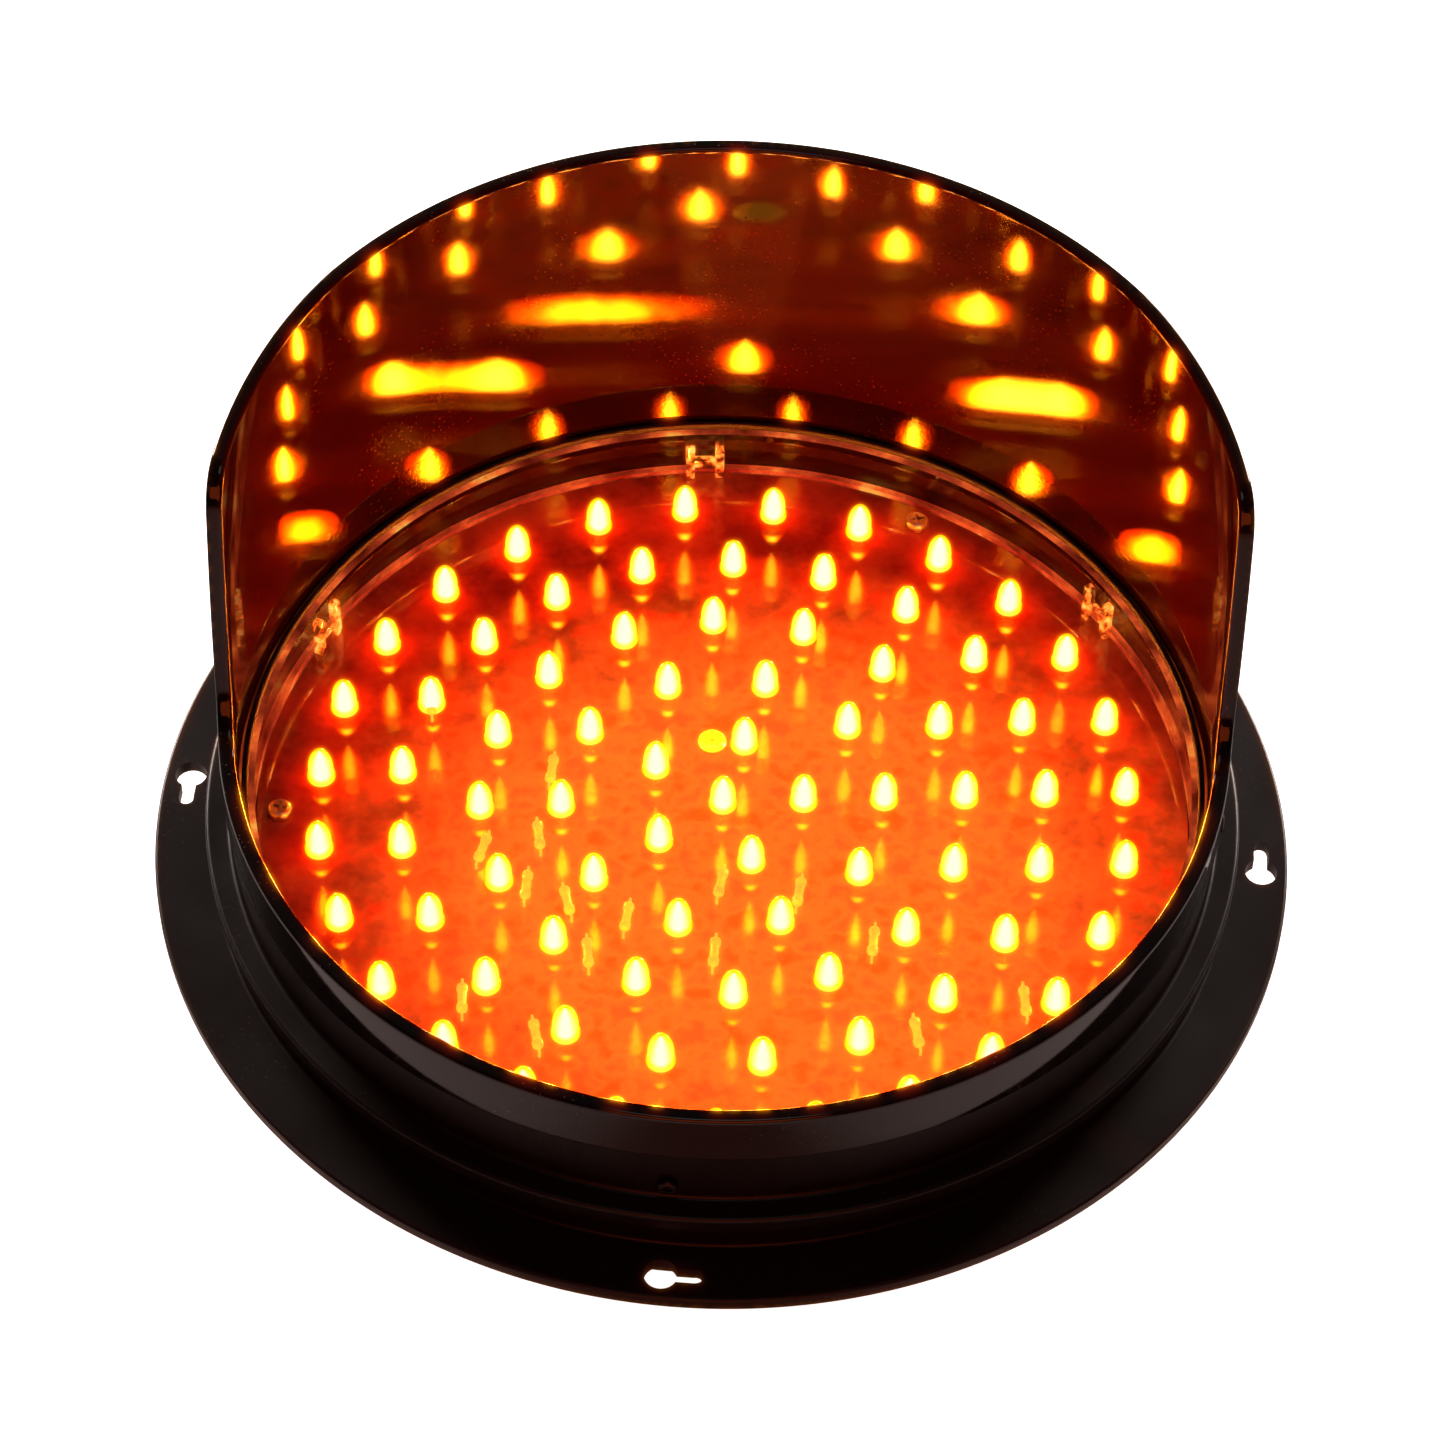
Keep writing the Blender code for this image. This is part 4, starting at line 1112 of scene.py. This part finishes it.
def clear_plastic(name, tint, rough, scratches):
    material, tree, mirror = new_material(name)
    set_inputs(mirror, {"Base Color": (1.0, 1.0, 1.0, 1.0), "Metallic": 1.0})
    see_through = add(tree, "ShaderNodeBsdfTransparent", {"Color": (*tint, 1.0)})
    facing = add(tree, "ShaderNodeLayerWeight", {"Blend": 0.5})
    steep = math_node(tree, "POWER", facing.outputs["Facing"], 5.0)
    steep = math_node(tree, "MULTIPLY", steep, 0.96)
    share = math_node(tree, "ADD", steep, 0.04, clamp=True)
    rays = add(tree, "ShaderNodeLightPath")
    share = math_node(tree, "MULTIPLY", share, rays.outputs["Is Camera Ray"])
    ghost = math_node(tree, "MULTIPLY", rays.outputs["Is Glossy Ray"], GHOST_SHARE)
    share = math_node(tree, "MAXIMUM", share, ghost)
    lines = pattern(tree, "ShaderNodeTexNoise", {"Scale": 600.0, "Detail": 4.0, "Distortion": 1.5})
    haze = add(tree, "ShaderNodeMapRange", {
        "From Min": 0.5, "From Max": 0.8, "To Min": rough, "To Max": rough + scratches,
    })
    mix = add(tree, "ShaderNodeMixShader")
    wire(
        tree,
        (lines, "Fac", haze, "Value"),
        (haze, 0, mirror, "Roughness"),
        (share, mix, "Fac"),
        (see_through, 0, mix, 1),
        (mirror, 0, mix, 2),
        (mix, 0, tree.nodes["Material Output"], "Surface"),
    )
    return material


def mix_over(tree, share, glowing):
    """Puts a second shader over what the material already shows."""
    output = tree.nodes["Material Output"]
    clear = output.inputs["Surface"].links[0].from_socket
    mix = add(tree, "ShaderNodeMixShader")
    wire(
        tree,
        (share, mix, "Fac"),
        (clear, mix, 1),
        (glowing, 0, mix, 2),
        (mix, 0, output, "Surface"),
    )


def light_the_rim(material):
    """The clamped rim and foot are left matt, and the light that travels inside the sheet and comes out
    there is painted on them: a red colour and an uneven orange glow, a little brighter beside each lamp of
    the outer ring.
    """
    tree = material.node_tree
    # Painted light: a matt shader whose red colour and emission glow paint the lamps' light on the rim and
    # foot.
    frosted_painted_glow = add(tree, "ShaderNodeBsdfPrincipled", {
        "Base Color": (0.22, 0.04, 0.02, 1.0), "Specular IOR Level": 0.2, "Roughness": 0.4,
        "Emission Strength": 0.8,
    })
    frosted_painted_glow.name = "frosted rim"
    uneven = pattern(tree, "ShaderNodeTexNoise", {"Scale": 110.0, "Detail": 5.0, "Roughness": 0.65})
    glow = add(tree, "ShaderNodeValToRGB")
    set_ramp(glow, (
        (0.30, (0.06, 0.003, 0.001)),
        (0.50, (0.42, 0.045, 0.012)),
        (0.66, (1.0, 0.15, 0.025)),
        (0.76, (1.0, 0.50, 0.08)),
    ))
    split = pattern(tree, "ShaderNodeSeparateXYZ")
    turn = math_node(tree, "ARCTAN2", split.outputs["Y"], split.outputs["X"])
    turn = math_node(tree, "SUBTRACT", turn, LED_START)
    beat = math_node(tree, "COSINE", math_node(tree, "MULTIPLY", turn, RING_COUNTS[-1]))
    beside = math_node(tree, "MULTIPLY", beat, 0.10)
    height = height_of(tree)
    at_rim = math_node(tree, "GREATER_THAN", radius_of(tree), 101.9 * MM)
    on_top = math_node(tree, "GREATER_THAN", height, LENS_FRONT - 0.9 * MM)
    at_foot = math_node(tree, "LESS_THAN", height, BOARD_FACE + 0.8 * MM)
    lit = math_node(tree, "MAXIMUM", math_node(tree, "MULTIPLY", at_rim, on_top), at_foot)
    wire(
        tree,
        (math_node(tree, "ADD", uneven.outputs["Fac"], beside), glow, "Fac"),
        (glow, "Color", frosted_painted_glow, "Emission Color"),
    )
    mix_over(tree, lit, frosted_painted_glow)


clear_lens = clear_plastic("clear_lens", (0.985, 0.975, 0.965), 0.02, 0.05)
light_the_rim(clear_lens)
clear_clip = clear_plastic("clear_clip", (0.90, 0.82, 0.74), 0.05, 0.10)


def light_the_clips(material):
    """The clips stand beside the outer lamps, and their light is painted on them as bright glowing patches,
    placed by a noise.
    """
    tree = material.node_tree
    # Painted light: an orange shader with an emission glow, laid over the clear clip in noisy patches.
    painted_glow_patches = add(tree, "ShaderNodeBsdfPrincipled", {
        "Base Color": (0.6, 0.25, 0.12, 1.0), "Roughness": 0.15, "Emission Strength": 1.0,
    })
    painted_glow_patches.name = "filled with light"
    patches = pattern(tree, "ShaderNodeTexNoise", {"Scale": 380.0, "Detail": 2.0, "Roughness": 0.5})
    ramp = add(tree, "ShaderNodeValToRGB")
    set_ramp(ramp, (
        (0.30, (0.10, 0.003, 0.001)),
        (0.48, (0.95, 0.12, 0.02)),
        (0.60, (1.0, 0.34, 0.03)),
        (0.72, (1.0, 0.75, 0.20)),
    ))
    share = add(tree, "ShaderNodeMapRange", {"From Min": 0.47, "From Max": 0.60})
    wire(
        tree,
        (patches, "Fac", ramp, "Fac"),
        (patches, "Fac", share, "Value"),
        (ramp, "Color", painted_glow_patches, "Emission Color"),
    )
    mix_over(tree, share.outputs[0], painted_glow_patches)


light_the_clips(clear_clip)
print("clear plastic ready")

# %% Lens
def make_lens():
    inner = LENS_RADIUS - 1.6 * MM
    foot = SEAT_TOP + 0.3 * MM
    profile = rounded((
        (0.0, LENS_FRONT),
        (LENS_RADIUS, LENS_FRONT, 0.7 * MM),
        (LENS_RADIUS, foot, 0.2 * MM),
        (inner, foot, 0.2 * MM),
        (inner, LENS_BACK, 0.6 * MM),
        (0.0, LENS_BACK),
    ), steps=4)
    return keep("lens_cup", lathe(profile, 256, ring=False), clear_lens)


lens = make_lens()
finish_piece(lens, HEAD, "clear_lens", "lens")

# %% Lens clips
def clip_shape(place):
    """Two posts and a bar, like an H seen from the axis."""
    inner = 100.2 * MM
    deep = 2.1 * MM
    low = BOARD_FACE + 0.3 * MM
    high = LENS_BACK - 0.3 * MM
    middle = inner + deep / 2
    height = high - low
    shape = bmesh.new()
    for side in (-1, 1):
        post = (middle, side * 3.45 * MM, (low + high) / 2)
        merge_in(shape, block((deep, 2.1 * MM, height), post, 0.3 * MM, 2, place))
    bar = (middle, 0.0, low + 4.7 * MM)
    merge_in(shape, block((deep - 0.1 * MM, 5.6 * MM, 2.2 * MM), bar, 0.3 * MM, 2, place))
    return shape


for number, azimuth in enumerate(azimuths(math.radians(33.5), 6), 1):
    name = f"lens_clip_{number}"
    clip = keep(name + "_shape", clip_shape(Matrix.Rotation(azimuth, 4, "Z")), clear_clip)
    finish_piece(clip, HEAD, "clear_clip", name)

# %% [markdown]
# ## Seals
# Three rubber rings: one over the lens edge, one under the flange and one on the rear cover's rim. Each
# is a turned strip with well rounded corners, because a moulded seal has no sharp edge at all.

# %% Seals
def make_ring(node, corner):
    """A turned strip that fills the node's box between its inner radius and its outer radius."""
    low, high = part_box(node)
    inner = min(v.co.xy.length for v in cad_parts[node].data.vertices)
    profile = rounded((
        (high.x, high.z, corner),
        (high.x, low.z, corner),
        (inner, low.z, corner),
        (inner, high.z, corner),
    ), steps=4)
    return keep(node + "_ring", lathe(profile, 192), seal_rubber)


for node, corner in (("lens_seal", 0.5 * MM), ("panel_gasket", 0.8 * MM), ("rear_cover_gasket", 0.3 * MM)):
    finish_piece(make_ring(node, corner), HEAD, "seal_rubber", node)

# %% [markdown]
# ## The back
# A shallow bowl screwed up against the flange, with a boss for the cable gland at one side and one for
# the vent at the top. The bowl and its bosses are closed shapes that overlap, and a Boolean union would
# leave a seam of thin faces, so the bosses are simply pushed into the bowl.

# %% Rear cover
RIM_TOP = cover_high.z
RIM_LOW = RIM_TOP - 3.0 * MM
SIDE_HEIGHT = 14.0 * MM
GLAND_AZIMUTH = math.pi


def cover_outline():
    heel = 4.0 * MM
    wall = 2.5 * MM
    return rounded((
        (104.0 * MM, RIM_TOP, 0.5 * MM),
        (104.0 * MM, RIM_LOW, 0.8 * MM),
        (94.2 * MM, RIM_LOW, 1.2 * MM),
        (90.0 * MM, heel, 3.0 * MM),
        (86.0 * MM, 0.0, 3.0 * MM),
        (0.0, 0.0),
        (0.0, wall),
        (84.8 * MM, wall, 2.0 * MM),
        (87.5 * MM, heel + MM, 2.0 * MM),
        (91.5 * MM, RIM_LOW, 1.0 * MM),
        (91.5 * MM, RIM_TOP, 0.3 * MM),
    ), steps=5)


def facing_out(azimuth):
    """Turns an upright shape so that its height runs outwards from the axis."""
    outward = Matrix.Rotation(math.pi / 2, 4, "Y")
    return Matrix.Rotation(azimuth, 4, "Z") @ Matrix.Translation((0, 0, SIDE_HEIGHT)) @ outward


def make_cover():
    shape = lathe(cover_outline(), 192)
    down = facing_out(GLAND_AZIMUTH)
    up = facing_out(math.pi / 2)
    merge_in(shape, rod(10.2 * MM, 84.0 * MM, 96.0 * MM, 64, down, 0.6 * MM))
    merge_in(shape, rod(8.0 * MM, 84.0 * MM, 95.0 * MM, 64, up, 0.6 * MM))
    piece = keep("rear_cover_shell", shape, cover_black)
    holes = []
    for azimuth in azimuths(COVER_SCREW_START, 6):
        holes.append(rod(2.1 * MM, RIM_LOW - MM, RIM_TOP + MM, 24, polar(azimuth, COVER_SCREW_RING)))
    cut_away(piece, holes)
    return piece


cover = make_cover()
finish_piece(cover, HEAD, "cover_black", "rear_cover")

# %% Cable gland and vent
def hexagon(across, low, high, place, chamfer):
    """A hexagon bar with its corners turned down at both ends."""
    shape = rod(across, low, high, 6, place)
    edges = [e for e in shape.edges if e.calc_face_angle(0.0) > math.radians(20)]
    bmesh.ops.bevel(shape, geom=edges, offset=chamfer, segments=2, profile=0.5, affect="EDGES", material=-1)
    return shape


def make_gland():
    out = facing_out(GLAND_AZIMUTH)
    shape = hexagon(9.6 * MM, 96.3 * MM, 101.3 * MM, out, 0.4 * MM)
    neck = rounded((
        (6.0 * MM, 104.0 * MM, 0.3 * MM),
        (6.0 * MM, 80.0 * MM, 0.3 * MM),
        (4.2 * MM, 80.0 * MM, 0.3 * MM),
        (4.2 * MM, 104.0 * MM, 0.3 * MM),
    ), steps=2)
    merge_in(shape, lathe(neck, 48, place=out))
    return keep("gland_body_shape", shape, gland_black)


def make_gland_nut():
    """A smooth domed nut."""
    low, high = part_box("gland_nut")
    out = facing_out(GLAND_AZIMUTH)
    near = -high.x
    far = -low.x
    profile = rounded((
        (8.3 * MM, near, 0.5 * MM),
        (8.3 * MM, near + 6.5 * MM, 1.0 * MM),
        (6.6 * MM, far - 1.2 * MM, 1.5 * MM),
        (5.4 * MM, far, 0.6 * MM),
        (4.0 * MM, far, 0.3 * MM),
        (4.0 * MM, far - 3.0 * MM),
        (7.0 * MM, far - 4.5 * MM),
        (7.0 * MM, near, 0.3 * MM),
    ), steps=4)
    shape = lathe(profile, 72, place=out)
    return keep("gland_nut_shape", shape, gland_black)


finish_piece(make_gland(), HEAD, "gland_black", "gland_body")
finish_piece(make_gland_nut(), HEAD, "gland_black", "gland_nut")


def make_vent():
    out = facing_out(math.pi / 2)
    profile = rounded((
        (0.0, 98.3 * MM),
        (5.6 * MM, 98.3 * MM, 0.8 * MM),
        (5.6 * MM, 95.3 * MM, 0.3 * MM),
        (3.4 * MM, 95.3 * MM),
        (3.4 * MM, 88.0 * MM),
        (0.0, 88.0 * MM),
    ), steps=4)
    shape = lathe(profile, 48, ring=False, place=out)
    piece = keep("vent_plug_shape", shape, gland_black)
    slots = []
    for azimuth in azimuths(0.0, 6):
        turn = out @ Matrix.Rotation(azimuth, 4, "Z")
        slots.append(block((2.4 * MM, 0.8 * MM, 1.2 * MM), (4.6 * MM, 0.0, 98.2 * MM), place=turn))
    cut_away(piece, slots)
    return piece


finish_piece(make_vent(), HEAD, "gland_black", "vent_plug")

# %% [markdown]
# ## Parts inside
# The driver board and what stands on it are shut away behind the LED board. Their shapes are simple and
# true already, so they keep the frame's own meshes and only get a finish each.

# %% Finishes for the parts inside
def plain(name, colour, other, roughness, scale=400.0):
    """Two close colours in patches, with a little grain."""
    material, tree, shader = new_material(name)
    texture = add(tree, "ShaderNodeGroup", {"Scale": scale * 3, "Patch Scale": scale}, node_tree=grain)
    tint = add(tree, "ShaderNodeMix", {"A": (*colour, 1.0), "B": (*other, 1.0)}, data_type="RGBA")
    roughen(tree, shader, texture, max(roughness - 0.1, 0.03), roughness + 0.1, 0.1, 0.0001)
    wire(tree, (texture, "Patches", tint, "Factor"), (tint, "Result", shader, "Base Color"))
    return material


driver_green = plain("driver_board", (0.02, 0.16, 0.05), (0.03, 0.24, 0.09), 0.3, 160.0)
terminal_green = plain("terminal_green", (0.03, 0.30, 0.10), (0.05, 0.40, 0.15), 0.45)
coil_wrap = plain("coil_wrap", (0.60, 0.45, 0.08), (0.75, 0.58, 0.15), 0.4, 300.0)
component_black = plain("component_black", (0.015, 0.015, 0.017), (0.03, 0.03, 0.03), 0.4)
capacitor_sleeve = plain("capacitor_sleeve", (0.02, 0.03, 0.08), (0.03, 0.04, 0.12), 0.3)
varistor_blue = plain("varistor_blue", (0.03, 0.10, 0.42), (0.05, 0.14, 0.52), 0.35)
fuse_glass = plain("fuse_glass", (0.70, 0.74, 0.74), (0.82, 0.86, 0.86), 0.12)
connector_white = plain("connector_white", (0.75, 0.73, 0.66), (0.85, 0.83, 0.77), 0.45)
wire_red = plain("wire_red", (0.55, 0.02, 0.01), (0.66, 0.04, 0.02), 0.4)
wire_black = plain("wire_black", (0.012, 0.012, 0.012), (0.03, 0.03, 0.03), 0.4)
INSIDE = {
    "driver_board": driver_green,
    "terminal_block": terminal_green,
    "transformer_core": component_black,
    "transformer_winding": coil_wrap,
    "bridge_rectifier": component_black,
    "smoothing_capacitor_1": capacitor_sleeve,
    "smoothing_capacitor_2": capacitor_sleeve,
    "varistor": varistor_blue,
    "fuse": fuse_glass,
    "output_connector": connector_white,
    "led_board_connector": connector_white,
    "lead_red": wire_red,
    "lead_black": wire_black,
    "centre_standoff": brass,
    "gland_locknut": gland_black,
    "gland_seal": seal_rubber,
}
for number in range(1, 5):
    INSIDE[f"driver_board_screw_{number}"] = screw_steel
for node, material in INSIDE.items():
    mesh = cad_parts[node].data
    mesh.materials.clear()
    mesh.materials.append(material)
print(len(INSIDE), "parts keep their own mesh")

# %% [markdown]
# ## Floor and studio light
# The head lies on its back on a plain pale floor. The floor is bright and even, and the black plastic must
# stay black, so the lamps are large, soft and placed where the flange doesn't mirror them to the camera.

# %% Floor
def make_floor():
    material, tree, shader = new_material("floor")
    set_inputs(shader, {
        "Base Color": (0.9, 0.9, 0.9, 1.0), "Roughness": 0.9, "Emission Color": (1.0, 1.0, 1.0, 1.0),
    })
    shape = bmesh.new()
    bmesh.ops.create_grid(shape, x_segments=1, y_segments=1, size=3.0)
    bmesh.ops.translate(shape, vec=(0.0, 0.0, -0.0002), verts=shape.verts)
    floor = keep("floor", shape, material)
    rays = add(tree, "ShaderNodeLightPath")
    wire(tree, (rays, "Is Camera Ray", shader, "Emission Strength"))
    return floor


floor = make_floor()
print("floor ready")

# %% Lamps, world and the way colour is shown
def add_lamp(name, place, target, size, power, colour=(1.0, 1.0, 1.0), spread=180.0):
    lamp = bpy.data.lights.new(name, "AREA")
    lamp.spread = math.radians(spread)
    lamp.shape = "DISK"
    lamp.size = size
    lamp.energy = power
    lamp.color = colour
    holder = bpy.data.objects.new(name, lamp)
    scene.collection.objects.link(holder)
    aim = (Vector(target) - Vector(place)).to_track_quat("-Z", "Y").to_matrix().to_4x4()
    holder.matrix_world = Matrix.Translation(place) @ aim
    return holder


add_lamp("overhead", (0.0, -0.2, 1.4), (0.0, 0.0, 0.0), 0.5, 0.4)
add_lamp("amber_bounce", (0.0, -0.9, 0.55), (0.0, 0.0, 0.03), 0.7, 2.0, (1.0, 0.12, 0.02))
for side in (-1, 1):
    behind = (side * 0.65, 0.80, 0.34)
    add_lamp("behind", behind, (side * 0.04, 0.10, 0.07), 0.45, 1.7, (1.0, 0.86, 0.80), spread=50.0)
world = bpy.data.worlds.new("world")
scene.world = world
world.use_nodes = True
set_inputs(world.node_tree.nodes["Background"], {"Color": (1.0, 1.0, 1.0, 1.0), "Strength": 0.010})
scene.view_settings.view_transform = "Standard"
print("lamps ready")

# %% [markdown]
# ## Glow
# An eye or a lens never sees a bright lamp with a clean edge: a little of its light spreads over what is
# beside it. So the finished picture is passed through a few nodes. Green without blue picks out the lamps
# and their mirror images, and leaves out the white floor. That mask is blurred twice, narrowly for a yellow
# fringe and widely for a red one, and both are added back.

# %% Glow
def spread(tree, mask, size, colour):
    """The mask, blurred over a given width and tinted."""
    blur = add(tree, "CompositorNodeBlur", {"Size": (size, size)}, filter_type="FAST_GAUSS")
    tint = add(tree, "CompositorNodeMixRGB", {2: (*colour, 1.0)}, blend_type="MULTIPLY")
    wire(tree, (mask, blur, "Image"), (blur, "Image", tint, 1))
    return tint.outputs["Image"]


def sum_of(tree, first, second):
    mix = add(tree, "CompositorNodeMixRGB", blend_type="ADD")
    wire(tree, (first, mix, 1), (second, mix, 2))
    return mix.outputs["Image"]


def add_glow():
    scene.use_nodes = True
    tree = scene.node_tree
    tree.nodes.clear()
    picture = tree.nodes.new("CompositorNodeRLayers").outputs["Image"]
    parts = add(tree, "CompositorNodeSeparateColor")
    no_blue = add(tree, "CompositorNodeMath", {0: 1.0}, operation="SUBTRACT", use_clamp=True)
    lit = add(tree, "CompositorNodeMath", {1: 0.25}, operation="SUBTRACT", use_clamp=True)
    mask = add(tree, "CompositorNodeMath", operation="MULTIPLY")
    wire(
        tree,
        (picture, parts, "Image"),
        (parts, "Blue", no_blue, 1),
        (parts, "Green", lit, 0),
        (no_blue, 0, mask, 0),
        (lit, 0, mask, 1),
    )
    near = spread(tree, mask.outputs[0], 6.0, (1.8, 0.55, 0.0))
    far = spread(tree, mask.outputs[0], 18.0, (1.0, 0.04, 0.0))
    result = tree.nodes.new("CompositorNodeComposite")
    tree.links.new(sum_of(tree, sum_of(tree, picture, near), far), result.inputs["Image"])


add_glow()
print("glow ready")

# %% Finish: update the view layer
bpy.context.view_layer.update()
